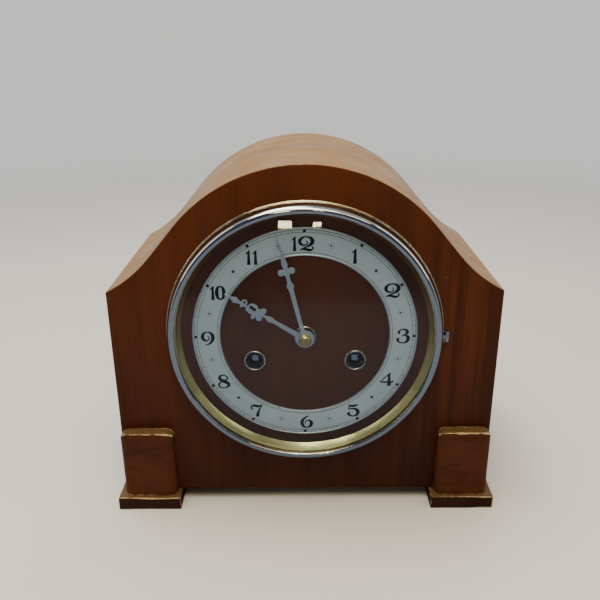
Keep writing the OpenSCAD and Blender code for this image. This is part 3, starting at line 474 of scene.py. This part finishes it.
looks = {
    "veneer": wood("veneer", MAHOGANY, TOP_LIGHT_TONE, spread=0.32, shine=0.2, figure=0.3, painted_foot_shade=0.6),
    "case_wood": wood("case_wood", MAHOGANY, TOP_LIGHT_TONE, shine=0.22, offset=(13, 2, 5)),
    "trim_wood": wood("trim_wood", TRIM, TOP_LIGHT_TRIM_TONE, spread=0.4, reach=0.75, ragged=3.0,
                      offset=(29, 7, 11)),
    "plate_wood": wood("plate_wood", PLATE, TOP_LIGHT_TRIM_TONE, reach=0.45, ragged=2.5, offset=(3, 17, 1)),
    "inner_wood": wood("inner_wood", CARCASE, CARCASE, ragged=0.7, rough=0.62, offset=(41, 3, 8)),
    "chrome": chrome(),
    "bead_metal": metal("bead_metal", (0.95, 0.8, 0.45), (0.7, 0.55, 0.3), 0.2, marks=160, patchy=0.3,
                        relief=0.05),
    "sight_metal": metal("sight_metal", (1, 0.83, 0.36), (0.97, 0.79, 0.33), 0.25, marks=160,
                         patchy=0.03, relief=0, uneven=0.04),
    "glass": glass(),
    "silvered": silvered(),
    "ring_border": metal("ring_border", (0.97, 0.97, 0.93), (0.6, 0.58, 0.5), 0.35, marks=360,
                         patchy=0.3, relief=0.1),
    "grommet_metal": metal("grommet_metal", (0.9, 0.85, 0.7), (0.5, 0.42, 0.26), 0.22, marks=360),
    "hand_metal": metal("hand_metal", (0.9, 0.91, 0.9), (0.6, 0.61, 0.59), 0.45, marks=800),
    "brass": metal("brass", (0.86, 0.64, 0.3), (0.5, 0.32, 0.13), 0.3),
    "steel": metal("steel", (0.46, 0.46, 0.46), (0.26, 0.24, 0.22), 0.3),
    "dull_steel": metal("dull_steel", (0.5, 0.52, 0.56), (0.3, 0.3, 0.32), 0.4),
    "spring_steel": metal("spring_steel", (0.2, 0.22, 0.27), (0.09, 0.08, 0.08), 0.3),
    "iron": metal("iron", (0.09, 0.088, 0.085), (0.05, 0.035, 0.025), 0.6, marks=320, patchy=0.6,
                  relief=0.6),
    "gong_steel": metal("gong_steel", (0.42, 0.42, 0.41), (0.2, 0.16, 0.12), 0.35),
    "ink": ink(),
}

# ---------------------------------------------------------------- making pieces

SHARP = math.radians(32)  # least fold that is an arris
SLIGHT = math.radians(0.4)  # greatest fold within a flat face
WELD = 0.002 * MM
CUT = 1e-7


def make_piece(name, bm, look, node, stands_for=()):
    """A new piece that rides with the CAD node's body and takes the look it is given."""
    mesh = bpy.data.meshes.new(name)
    bmesh.ops.recalc_face_normals(bm, faces=bm.faces)
    bm.to_mesh(mesh)
    bm.free()
    mesh.shade_smooth()
    mesh.set_sharp_from_angle(angle=SHARP)
    mesh.materials.append(looks[look])
    obj = link(bpy.data.objects.new(name, mesh))
    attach(obj, body_of[node])
    if stands_for:
        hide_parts(*stands_for)
    return obj


def cad_solid(node):
    """The CAD node's surface, welded and with its flat faces whole again."""
    bm = bmesh.new()
    bm.from_mesh(nodes[node].data)
    bmesh.ops.remove_doubles(bm, verts=bm.verts, dist=WELD)
    bmesh.ops.dissolve_limit(bm, angle_limit=SLIGHT, verts=bm.verts, edges=bm.edges)
    return bm


def arrises(bm):
    """The edges that stand out sharply."""
    return [e for e in bm.edges
            if len(e.link_faces) == 2 and e.is_convex and e.calc_face_angle(0) > SHARP]


def soften(bm, edges, width, segments=3):
    """Rounds the edges off by this width."""
    bmesh.ops.bevel(bm, geom=edges, offset=width * MM, offset_type="OFFSET", segments=segments,
                    profile=0.5, affect="EDGES", clamp_overlap=True)


def slice_up(bm, step, axes):
    """Cuts every face along planes about a step apart across the named axes, so that attributes
    can vary over it."""
    for axis in ("XYZ".index(letter) for letter in axes):
        places = [v.co[axis] for v in bm.verts]
        low, high = min(places), max(places)
        count = int((high - low) / (step * MM))
        normal = Vector([1.0 if k == axis else 0.0 for k in range(3)])
        for k in range(1, count + 1):
            at = normal * (low + (high - low) * k / (count + 1))
            bmesh.ops.bisect_plane(bm, geom=bm.verts[:] + bm.edges[:] + bm.faces[:], dist=CUT,
                                   plane_co=at, plane_no=normal)


def lathe(name, profile, look, node, stands_for=(), centres=((0, 0),), steps=256):
    """A closed profile of (r, p) points turned about the dial's axis, or about each centre."""
    bm = bmesh.new()
    for cx, cy in centres:
        rings = []
        for k in range(steps):
            turn = 2 * math.pi * k / steps
            rings.append([bm.verts.new(dial_point(cx + r * math.sin(turn), cy + r * math.cos(turn), p))
                          for r, p in profile])
        for ring, after in zip(rings, rings[1:] + rings[:1]):
            for i in range(len(profile)):
                j = (i + 1) % len(profile)
                bm.faces.new((ring[i], ring[j], after[j], after[i]))
    bmesh.ops.remove_doubles(bm, verts=bm.verts, dist=WELD / 4)
    make_piece(name, bm, look, node, stands_for)


# ---------------------------------------------------------------- wooden pieces

PANEL_T = 8
NEAR_DIAL, DIAL_DEEP = 96 * MM, 9 * MM  # how far the panel's dial holes reach from its axis and face
FLUSH = 0.01 * MM
FACES_AHEAD = 0.7  # least share of a normal that points ahead or back on an upright face
ARCH_MIDDLE, ARCH_R = Vector((0, 0, 0.1)), 150  # the grain runs round this axis
TOP_LIGHT_FROM, TOP_LIGHT_OVER = 0.3, 0.5  # how steeply a face looks up where the painted light from overhead begins
FAR_OFF = 1e9


def distance_to(points, segments):
    """Least distance from each point to any of the segments, in the same unit."""
    starts = np.array([s[0] for s in segments])
    along = np.array([s[1] for s in segments]) - starts
    length2 = (along ** 2).sum(1)
    nearest = np.full(len(points), FAR_OFF)
    for start, run, size in zip(starts, along, length2):
        share = np.clip((points - start) @ run / size, 0, 1)
        nearest = np.minimum(nearest, np.linalg.norm(points - start - share[:, None] * run, axis=1))
    return nearest


def grain_at(co, normal, level):
    """Millimetres across, along and through the grain. It runs upright on faces that look forwards
    or back, level on a piece whose wood is laid level, and round the case on the others."""
    x, y, z = co / MM
    if level:
        return (z, x + y, y - x)
    if abs(normal.y) > FACES_AHEAD:
        return (x, z, y)
    out = co - ARCH_MIDDLE
    return (y, ARCH_R * math.atan2(out.x, out.z), math.hypot(out.x, out.z) / MM)


def mark_edges(mesh, segments):
    """How far each vertex is from the nearest arris, in millimetres."""
    points = np.array([v.co for v in mesh.vertices]) / MM
    edge = mesh.attributes.new("edge", "FLOAT", "POINT")
    edge.data.foreach_set("value", distance_to(points, segments).astype(np.float32))


def mark_painted_top_light(mesh):
    """How far each face corner looks up, from 0 to 1, eased at both ends; this is how much painted light
    from overhead it takes.
    """
    normals = np.zeros(len(mesh.loops) * 3, np.float32)
    mesh.corner_normals.foreach_get("vector", normals)
    up = np.clip((normals[2::3] - TOP_LIGHT_FROM) / TOP_LIGHT_OVER, 0, 1)
    painted_top_light = mesh.attributes.new("painted_top_light", "FLOAT", "CORNER")
    painted_top_light.data.foreach_set("value", up * up * (3 - 2 * up))


def mark_grain(mesh, level):
    """Where each face corner lies in the grain, in millimetres."""
    values = np.zeros((len(mesh.loops), 3), np.float32)
    for face in mesh.polygons:
        for k in face.loop_indices:
            values[k] = grain_at(mesh.vertices[mesh.loops[k].vertex_index].co, face.normal, level)
    grain = mesh.attributes.new("grain", "FLOAT_VECTOR", "CORNER")
    grain.data.foreach_set("vector", values.ravel())


def wooden(node, round_off, step, axes="XYZ", sharp_at=None, look=None, level=False):
    """A piece of wood in place of the CAD node: its arrises rounded off by so many millimetres, and
    the attributes that its material reads. sharp_at says which arrises stay as they are."""
    bm = cad_solid(node)
    edges = [e for e in arrises(bm) if not (sharp_at and sharp_at(e))]
    segments = [tuple(np.array(v.co) / MM for v in e.verts) for e in edges]
    soften(bm, edges, round_off)
    slice_up(bm, step, axes)
    mesh = make_piece(node + "_wood", bm, look or slot_of[node], node, (node,)).data
    mark_edges(mesh, segments)
    mark_painted_top_light(mesh)
    mark_grain(mesh, level)


def on_case_joint(edge):
    """The arris where the front panel meets the sides and top, which are flush with it."""
    joint = face_y + PANEL_T * MM
    return all(abs(v.co.y - joint) < FLUSH for v in edge.verts)


def keep_panel(edge):
    """The panel's case joint and the rims of its dial holes."""
    middle = (edge.verts[0].co + edge.verts[1].co) / 2
    near_dial = math.hypot(middle.x, middle.z - dial_z) < NEAR_DIAL
    return on_case_joint(edge) or (near_dial and abs(middle.y - face_y) < DIAL_DEEP)


def keep_shell(edge):
    """Where the sides, the top and the front panel are flush with each other."""
    on_side = all(abs(v.co.z - side_top) < FLUSH for v in edge.verts)
    return on_case_joint(edge) or on_side


def build_case():
    """Every piece of wood, with finer steps on the small ones."""
    wooden("front_panel", round_off=0.5, step=3, axes="XZ", sharp_at=keep_panel)
    wooden("arched_top", round_off=0.6, step=4, axes="XY", sharp_at=keep_shell)
    for side in ("left_side", "right_side"):
        wooden(side, round_off=0.6, step=4, axes="YZ", sharp_at=keep_shell)
    wooden("pilasters", round_off=0.5, step=1.2, level=True)
    wooden("front_foot_plates", round_off=0.5, step=1.2, look="plate_wood")
    wooden("rear_feet", round_off=0.6, step=2)
    wooden("base_board", round_off=0.4, step=6, axes="XY")
    wooden("back_panel", round_off=0.5, step=3)
    wooden("rear_door", round_off=0.6, step=3)
    wooden("corner_blocks", round_off=0.5, step=4)


# ---------------------------------------------------------------- dial, bezel and glass

# Radii from the dial's axis, heights p in front of the panel and thicknesses. The rim is the edge
# of the glass, and a TURNS value is the number of steps round a lathed piece.
RING_IN, RING_OUT = 54.2, 72.2
RING_BACK, RING_EDGE, RING_FACE = 0.02, 0.55, 0.8
BORDER_HALF, BORDER_HEIGHT, BORDER_P, BORDER_FOOT = 0.5, 0.38, 0.7, 0.5
RIM_R, RIM_P = 83.2, 7.8
CREST_P = 9.8
GLASS_T, GLASS_GAP, GLASS_STEPS = 1.6, 0.05, 40
FLANGE_R, FLANGE_T = 86.3, 0.55
BEAD_R, BEAD_P = 88.42, 0.68
HOLE_X, HOLE_Y = 32.6, -17.2
BEZEL_TURNS, GLASS_TURNS, GROMMET_TURNS, NUT_TURNS = 288, 192, 96, 64


def arc_points(cr, cp, dr, dp, start, end, steps):
    """An elliptical arc about (cr, cp), its ends in degrees."""
    return [(cr + dr * math.cos(math.radians(start + (end - start) * k / steps)),
             cp + dp * math.sin(math.radians(start + (end - start) * k / steps)))
            for k in range(steps + 1)]


def bezier(a, b, c, d, steps):
    """A cubic curve from a to d that b and c draw towards themselves."""
    out = []
    for k in range(steps + 1):
        t = k / steps
        weights = ((1 - t) ** 3, 3 * t * (1 - t) ** 2, 3 * t * t * (1 - t), t ** 3)
        out.append(tuple(sum(w * p[i] for w, p in zip(weights, (a, b, c, d))) for i in (0, 1)))
    return out


def build_ring():
    """Chapter ring, and the bright raised border along each of its edges."""
    ring = [(RING_IN, RING_BACK), (RING_OUT, RING_BACK), (RING_OUT, RING_EDGE),
            (RING_OUT - 1, RING_FACE), (RING_IN + 1, RING_FACE), (RING_IN, RING_EDGE)]
    lathe("chapter_ring_silvered", ring, "silvered", "chapter_ring", ("chapter_ring",))
    for name, middle in (("outer", RING_OUT - BORDER_HALF), ("inner", RING_IN + BORDER_HALF)):
        border = arc_points(middle, BORDER_P, BORDER_HALF, BORDER_HEIGHT, 0, 180, 12)
        border += [(middle - BORDER_HALF, BORDER_FOOT), (middle + BORDER_HALF, BORDER_FOOT)]
        lathe("chapter_ring_border_" + name, border, "ring_border", "chapter_ring")


def build_bezel():
    """A shell with a hollow at its foot, a short steep wall, a broad rounded slope up to its crest
    and a lip over the glass; and a bead round its foot."""
    foot, wall, crest, lip = (88.4, 0.95), (87.92, 2.1), (84.3, CREST_P), (82.4, 8.9)
    hollow = bezier(foot, (88.1, 1.0), (87.96, 1.3), wall, 8)
    slope = bezier(wall, (87.88, 5.3), (87.0, CREST_P), crest, 28)
    over = bezier(crest, (83.3, CREST_P), (82.6, 9.6), lip, 8)
    inside = bezier((83.2, 8.6), (85.2, 9.2), (87.2, 7.2), (87.2, 1.0), 14)
    shell = hollow + slope[1:] + over[1:] + [(82.45, 8.3)] + inside
    lathe("bezel_chromed", shell, "chrome", "bezel", ("bezel",), steps=BEZEL_TURNS)
    bead = arc_points(BEAD_R, BEAD_P, 0.32, 0.36, -60, 240, 14)
    lathe("bezel_bead", bead, "bead_metal", "bezel", steps=BEZEL_TURNS)


def build_sight_ring():
    """A thin flared ring: a rolled foot at the dial, a hollow cone that turns up to the light, and
    a flange under the glass."""
    top = RIM_P - GLASS_T - GLASS_GAP
    under = top - FLANGE_T
    foot = [(79.2, 0.7), (79.25, 0.5), (79.6, 0.42)]
    back = bezier((79.9, 0.6), (80.0, 2.2), (81.4, 4.1), (82.6, under), 12)
    flange = [(FLANGE_R, under), (FLANGE_R, top), (82.4, top)]
    cone = bezier((82.1, top - 0.15), (81.5, 4.4), (80.5, 2.6), foot[0], 10)
    lathe("sight_ring_polished", foot + back + flange + cone[:-1], "sight_metal", "sight_ring",
          ("sight_ring",), steps=BEZEL_TURNS)


def build_glass():
    """A dome as high as the CAD glass, of one thickness all over."""
    top_p = (face_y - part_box("bezel_glass")[0].y) / MM
    rise = top_p - RIM_P
    sphere = (RIM_R ** 2 + rise ** 2) / (2 * rise)
    half = math.asin(RIM_R / sphere)
    turns = [half * k / GLASS_STEPS for k in range(GLASS_STEPS + 1)]
    outer = [(sphere * math.sin(t), top_p - sphere * (1 - math.cos(t))) for t in turns]
    inner = [(r, p - GLASS_T) for r, p in reversed(outer)]
    lathe("bezel_glass_convex", outer + inner, "glass", "bezel_glass", ("bezel_glass",), steps=GLASS_TURNS)


def build_grommets():
    """The lined holes of the hands' arbor and of the two winding squares."""
    bore, tube, flange, depth = 6.1, 6.6, 7.0, -7.9
    profile = [(bore, depth), (tube, depth), (tube, RING_BACK), (flange, RING_BACK), (flange, 0.35)]
    profile += arc_points(6.55, 0.35, 0.45, 0.5, 0, 180, 12)[1:]
    lathe("dial_grommets_turned", profile, "grommet_metal", "dial_grommets", ("dial_grommets",),
          ((0, 0), (HOLE_X, HOLE_Y), (-HOLE_X, HOLE_Y)), GROMMET_TURNS)


# ---------------------------------------------------------------- print on the chapter ring

INK_T, INK_SUNK = 0.03, 0.02  # how far the ink stands proud of the ring and reaches into it
THINNEST = 0.12
TINY = 1e-9
CAP_STEPS = 8


def smooth_path(points, steps=7):
    """A Catmull-Rom curve through the points, each of which may hold a width as well."""
    pts = [np.array(p, float) for p in points]
    pts = [2 * pts[0] - pts[1]] + pts + [2 * pts[-1] - pts[-2]]
    out = []
    for a, b, c, d in zip(pts, pts[1:], pts[2:], pts[3:]):
        for k in range(steps):
            t = k / steps
            out.append(0.5 * (2 * b + (c - a) * t + (2 * a - 5 * b + 4 * c - d) * t ** 2
                              + (3 * b - a - 3 * c + d) * t ** 3))
    return out + [pts[-2]]


class Print:
    """Ink in thin solid strokes on the ring's face, in millimetres of the dial's frame."""

    def __init__(self):
        self.bm = bmesh.new()

    def flat(self, faces):
        """A closed solid on faces given as lists of points, sharing corners that agree."""
        corners = {}
        made = []
        for face in faces:
            verts = []
            for x, y in face:
                key = (round(x, 4), round(y, 4))
                if key not in corners:
                    corners[key] = self.bm.verts.new(dial_point(x, y, RING_FACE - INK_SUNK))
                if corners[key] not in verts:
                    verts.append(corners[key])
            if len(verts) > 2:
                made.append(self.bm.faces.new(verts))
        grown = bmesh.ops.extrude_face_region(self.bm, geom=made, use_keep_orig=True)
        lift = Vector((0, -(INK_T + INK_SUNK) * MM, 0))
        moved = [v for v in grown["geom"] if isinstance(v, bmesh.types.BMVert)]
        bmesh.ops.translate(self.bm, verts=moved, vec=lift)

    def stroke(self, points):
        """A swelling stroke through points of (x, y, width), with round ends."""
        path = smooth_path(points)
        spots = [np.array(p[:2]) for p in path]
        last = len(path) - 1
        lefts, rights = [], []
        for k, p in enumerate(path):
            ahead = spots[min(k + 1, last)] - spots[max(k - 1, 0)]
            ahead = ahead / max(np.hypot(*ahead), TINY)
            side = np.array([-ahead[1], ahead[0]]) * max(p[2], THINNEST) / 2
            lefts.append(spots[k] + side)
            rights.append(spots[k] - side)
        faces = [[lefts[k], rights[k], rights[k + 1], lefts[k + 1]] for k in range(last)]
        for k, turn in ((0, -1), (last, 1)):
            x, y = lefts[k] - spots[k]
            cap = []
            for i in range(CAP_STEPS):
                t = turn * math.pi * i / CAP_STEPS
                arm = np.array([x * math.cos(t) + y * math.sin(t), y * math.cos(t) - x * math.sin(t)])
                cap.append(spots[k] + arm)
            faces.append(cap + [rights[k]])
        self.flat(faces)

    def shape(self, points, place=(0, 0), turn=0.0):
        """One outline, turned clockwise about its own origin and put in its place."""
        c, s = math.cos(turn), math.sin(turn)
        self.flat([[(place[0] + x * c + y * s, place[1] + y * c - x * s) for x, y in points]])

    def dot(self, place, out, turn, radius, sides=10):
        """A dot this far out from its place, in the direction of the turn."""
        turns = [2 * math.pi * k / sides for k in range(sides)]
        self.shape([(radius * math.sin(t), out + radius * math.cos(t)) for t in turns], place, turn)

    def circle_line(self, radius, width, steps=240):
        turns = [2 * math.pi * k / steps for k in range(steps)]
        inner, outer = ([(r * math.sin(t), r * math.cos(t)) for t in turns]
                        for r in (radius - width / 2, radius + width / 2))
        pairs = list(zip(inner, outer))
        self.flat([[a[0], a[1], b[1], b[0]] for a, b in zip(pairs, pairs[1:] + pairs[:1])])


# The outline of the upright in 1 and 4, and each digit's swelling strokes as points of
# (x, y, width), about 10 high and drawn about the digit's middle.
STEM = [(-1.5, -4.75), (1.5, -4.75), (1.25, -4.2), (1.0, -1), (0.85, 3.2), (0.95, 4.9), (0.4, 4.9),
        (-0.3, 4.2), (-0.8, 3.4), (-0.95, -1), (-1.25, -4.2)]
STROKES = {
    "0": [[(0, 4.4, 0.5), (-1.9, 3.1, 1.3), (-2.5, 0, 1.8), (-1.9, -3.1, 1.3), (0, -4.4, 0.5)],
          [(0, 4.4, 0.5), (1.9, 3.1, 1.3), (2.5, 0, 1.8), (1.9, -3.1, 1.3), (0, -4.4, 0.5)]],
    "1": [[(0.4, 4.7, 0.6), (-0.5, 3.5, 0.8), (-1.9, 2.7, 0.25)]],
    "2": [[(0.1, 1.7, 0.25), (0.9, 0.6, 0.45), (0.3, -0.7, 0.5), (-1.6, -1.3, 0.7), (-3.6, -0.2, 1.4),
           (-4.0, 2.0, 1.6), (-2.2, 3.9, 0.9), (0.3, 4.4, 0.6), (2.9, 3.6, 1.4), (4.0, 1.6, 2.0),
           (3.0, -0.6, 1.5), (0.6, -2.1, 0.7), (-1.8, -3.2, 0.4), (-4.0, -4.6, 0.3)],
          [(-4.0, -4.6, 0.3), (-2.4, -3.8, 0.8), (-0.4, -3.9, 1.2), (1.8, -4.5, 1.3), (3.7, -4.2, 0.8),
           (4.5, -3.1, 0.5), (3.9, -2.4, 0.7)]],
    "3": [[(-2.9, 2.1, 1.2), (-2.7, 3.3, 0.9), (-0.8, 4.5, 0.5), (1.8, 4.2, 1.1), (2.9, 2.8, 1.7),
           (1.9, 1.2, 0.9), (-0.4, 0.3, 0.4)],
          [(-0.6, 0.3, 0.4), (1.8, 0.5, 0.8), (3.7, -1.1, 1.9), (3.0, -3.6, 1.4), (0.4, -4.7, 0.5),
           (-2.4, -4.1, 0.8), (-3.7, -2.8, 1.2), (-3.3, -2.0, 1.4)]],
    "4": [[(1.4, 4.5, 0.5), (-1.8, 1.3, 0.5), (-4.9, -1.8, 0.4)],
          [(-4.9, -1.9, 0.4), (-2.0, -2.0, 0.9), (1.4, -1.8, 0.6), (2.6, -2.2, 1.0), (3.6, -1.0, 0.5)]],
    "5": [[(-3.3, 4.7, 0.3), (-2.6, 3.7, 0.8), (-0.8, 3.6, 1.3), (1.6, 3.9, 1.1), (3.4, 4.6, 0.3)],
          [(-2.9, 4.0, 0.5), (-3.0, 2.4, 0.4), (-3.2, 0.8, 0.35)],
          [(-3.2, 0.8, 0.3), (-0.8, 1.5, 0.8), (2.0, 0.9, 1.4), (3.5, -1.3, 1.9), (2.5, -3.7, 1.3),
           (0, -4.6, 0.6), (-2.4, -4.0, 1.0), (-3.5, -2.8, 1.2), (-3.0, -2.1, 1.3)]],
    "6": [[(1.5, 4.7, 0.3), (-0.7, 3.7, 0.8), (-2.9, 1.7, 1.4), (-3.7, -0.8, 1.9), (-2.6, -3.4, 1.4),
           (0, -4.5, 0.6), (2.6, -3.5, 1.4), (3.6, -1.2, 1.9), (2.5, 0.8, 1.1), (0.4, 1.2, 0.5),
           (-1.1, 0.0, 0.45), (-1.1, -1.4, 0.4)]],
    "7": [[(-2.9, 0.9, 0.6), (-3.6, 2.2, 0.6), (-3.0, 3.6, 0.8), (-1.1, 3.8, 1.4), (1.2, 3.3, 1.3),
           (3.8, 4.4, 0.3)],
          [(3.7, 4.2, 0.35), (2.2, 1.6, 0.6), (1.1, -1.4, 1.2), (0.5, -4.1, 1.8)]],
    "8": [[(2.4, 2.9, 0.7), (0.4, 4.4, 0.5), (-2.0, 3.6, 1.2), (-2.5, 1.8, 1.7), (-0.3, 0.2, 1.9),
           (2.6, -1.2, 1.8), (3.2, -3.0, 1.4), (0.8, -4.6, 0.5), (-2.0, -4.3, 0.6), (-3.3, -2.6, 0.9),
           (-1.8, -0.7, 0.6), (1.0, 0.7, 0.5), (2.6, 2.0, 0.7), (2.1, 3.4, 0.6)]],
    "9": [[(0.2, 1.6, 0.3), (1.1, 0.4, 0.45), (0.4, -1.2, 0.5), (-1.6, -1.5, 1.0), (-3.5, 0.4, 1.8),
           (-2.7, 3.2, 1.3), (-0.2, 4.4, 0.5), (2.5, 3.5, 1.3), (3.7, 1.0, 1.9), (3.0, -1.8, 1.4),
           (1.1, -3.7, 0.8), (-1.6, -4.6, 0.3)]],
}
STEMS = {"1": STEM, "4": [(x + 1.0, y) for x, y in STEM]}
INK_SPREAD, INK_GAIN = 0.22, 1.15
NUMERAL_R = 62.5

# Each hour's digits, and the box that each fills round the hour's place on the ring:
# left, right, bottom, top.
HOURS = {
    1: [("1", -2.3, 1.1, -5.2, 4.3)],
    2: [("2", -4.4, 5.7, -5.1, 4.7)],
    3: [("3", -3.9, 4.8, -5.2, 5.1)],
    4: [("4", -5.0, 3.9, -4.6, 5.0)],
    5: [("5", -3.2, 5.2, -4.9, 4.6)],
    6: [("6", -3.3, 5.2, -5.1, 4.4)],
    7: [("7", -5.3, 2.9, -4.8, 4.7)],
    8: [("8", -3.4, 4.7, -5.9, 4.4)],
    9: [("9", -4.2, 4.6, -5.9, 3.9)],
    10: [("1", -5.2, -2.1, -5.8, 3.6), ("0", -1.9, 4.6, -5.9, 3.8)],
    11: [("1", -4.9, -1.7, -5.6, 3.8), ("1", -0.7, 2.5, -5.6, 3.8)],
    12: [("1", -7.8, -4.8, -5.3, 4.0), ("2", -3.8, 6.1, -5.5, 4.1)],
}

# The minute track's lines and blocks, and the line inside the numerals.
TRACK_IN, TRACK_OUT, TRACK_LINE = 69.05, 70.75, 0.26
INNER_LINE_R = 56.2
MINUTE_HALF = 0.1
BLOCK_MIDDLE, BLOCK_HALF, BLOCK_WAIST = 69.9, 1.0, 0.85


def on_ring(turn):
    """The place on the numerals' circle at this turn clockwise from 12."""
    return (NUMERAL_R * math.sin(turn), NUMERAL_R * math.cos(turn))


def print_digit(sheet, digit, middle, box):
    """A digit's strokes and stem, fitted to its box."""
    strokes = [[(x, y, w * INK_GAIN + INK_SPREAD) for x, y, w in stroke] for stroke in STROKES[digit]]
    stem = STEMS.get(digit, [])
    spots = [(x + side * w / 2, y + side * w / 2) for stroke in strokes for x, y, w in stroke
             for side in (-1, 1)] + stem
    left, bottom = (min(spot[k] for spot in spots) for k in (0, 1))
    right, top = (max(spot[k] for spot in spots) for k in (0, 1))
    box_left, box_right, box_bottom, box_top = box
    wider = (box_right - box_left) / (right - left)
    taller = (box_top - box_bottom) / (top - bottom)

    def fitted(x, y):
        return (middle[0] + box_left + (x - left) * wider, middle[1] + box_bottom + (y - bottom) * taller)

    for stroke in strokes:
        sheet.stroke([(*fitted(x, y), w) for x, y, w in stroke])
    if stem:
        sheet.shape([fitted(x, y) for x, y in stem])


def print_block(sheet, minute):
    """A minute's thin line, or the waisted block at every fifth."""
    if minute % 5:
        block = [(-MINUTE_HALF, TRACK_IN), (MINUTE_HALF, TRACK_IN), (MINUTE_HALF, TRACK_OUT),
                 (-MINUTE_HALF, TRACK_OUT)]
    else:
        low, high = TRACK_IN - 0.25, TRACK_OUT + 0.2
        block = [(-BLOCK_HALF, low), (0, TRACK_IN + 0.05), (BLOCK_HALF, low),
                 (BLOCK_WAIST, BLOCK_MIDDLE), (BLOCK_HALF, high), (0, TRACK_OUT - 0.05),
                 (-BLOCK_HALF, high), (-BLOCK_WAIST, BLOCK_MIDDLE)]
    sheet.shape(block, turn=math.radians(6 * minute))


def print_star(sheet, middle, turn, bold):
    """A half-hour mark: a dot in a ring of smaller ones, or a bold star. Its first ray and every
    other one after it are longer."""
    core, long_ray, short_ray = (0.8, 1.9, 1.5) if bold else (0.62, 1.85, 1.6)
    sheet.dot(middle, 0, 0, core)
    for k in range(8):
        ray = turn + math.pi * k / 4
        reach = short_ray if k % 2 else long_ray
        if bold:
            sheet.shape([(-0.26, 0.4), (0.26, 0.4), (0, reach)], middle, ray)
        else:
            sheet.dot(middle, reach, ray, 0.2 if k % 2 else 0.3)


def build_print():
    """Numerals, the railway minute track and the half-hour marks."""
    sheet = Print()
    for hour, digits in HOURS.items():
        for digit, *box in digits:
            print_digit(sheet, digit, on_ring(math.radians(30 * hour)), box)
    for radius in (INNER_LINE_R, TRACK_IN, TRACK_OUT):
        sheet.circle_line(radius, TRACK_LINE)
    for minute in range(60):
        print_block(sheet, minute)
    for half in range(12):
        turn = math.radians(30 * half + 15)
        print_star(sheet, on_ring(turn), turn, half % 3 == 1)
    make_piece("dial_print", sheet.bm, "ink", "chapter_ring")


# ---------------------------------------------------------------- hands

NUT_BORE, NUT_R, NUT_FOOT_P, NUT_DOME_P = 1.3, 4.18, 6.97, 7.5


def build_hands():
    """The stamped hands with softened edges, and the domed nut that holds them."""
    for node in ("hour_hand", "minute_hand"):
        bm = cad_solid(node)
        soften(bm, arrises(bm), 0.14, 2)
        make_piece(node + "_stamped", bm, "hand_metal", node, (node,))
    foot = [(NUT_BORE, NUT_FOOT_P), (4.0, NUT_FOOT_P), (NUT_R, 7.1), (NUT_R, NUT_DOME_P)]
    dome = arc_points(1.25, NUT_DOME_P, 2.93, 2.65, 0, 90, 14)
    lathe("hand_nut_turned", foot + dome[1:], "brass", "hand_nut", ("hand_nut",), steps=NUT_TURNS)


# ---------------------------------------------------------------- the rest of the CAD nodes

DULL_NODES = ("bezel_hinge_tab", "going_winding_arbor", "strike_winding_arbor")


def finish_cad_nodes():
    """The CAD nodes that no new piece replaces show the look of their slot."""
    for name, obj in nodes.items():
        for k in range(len(obj.data.materials)):
            obj.data.materials[k] = looks["dull_steel" if name in DULL_NODES else slot_of[name]]


add_camera()
add_world()
add_floor()
add_lamps()
finish_cad_nodes()
build_case()
build_ring()
build_bezel()
build_sight_ring()
build_glass()
build_grommets()
build_print()
build_hands()
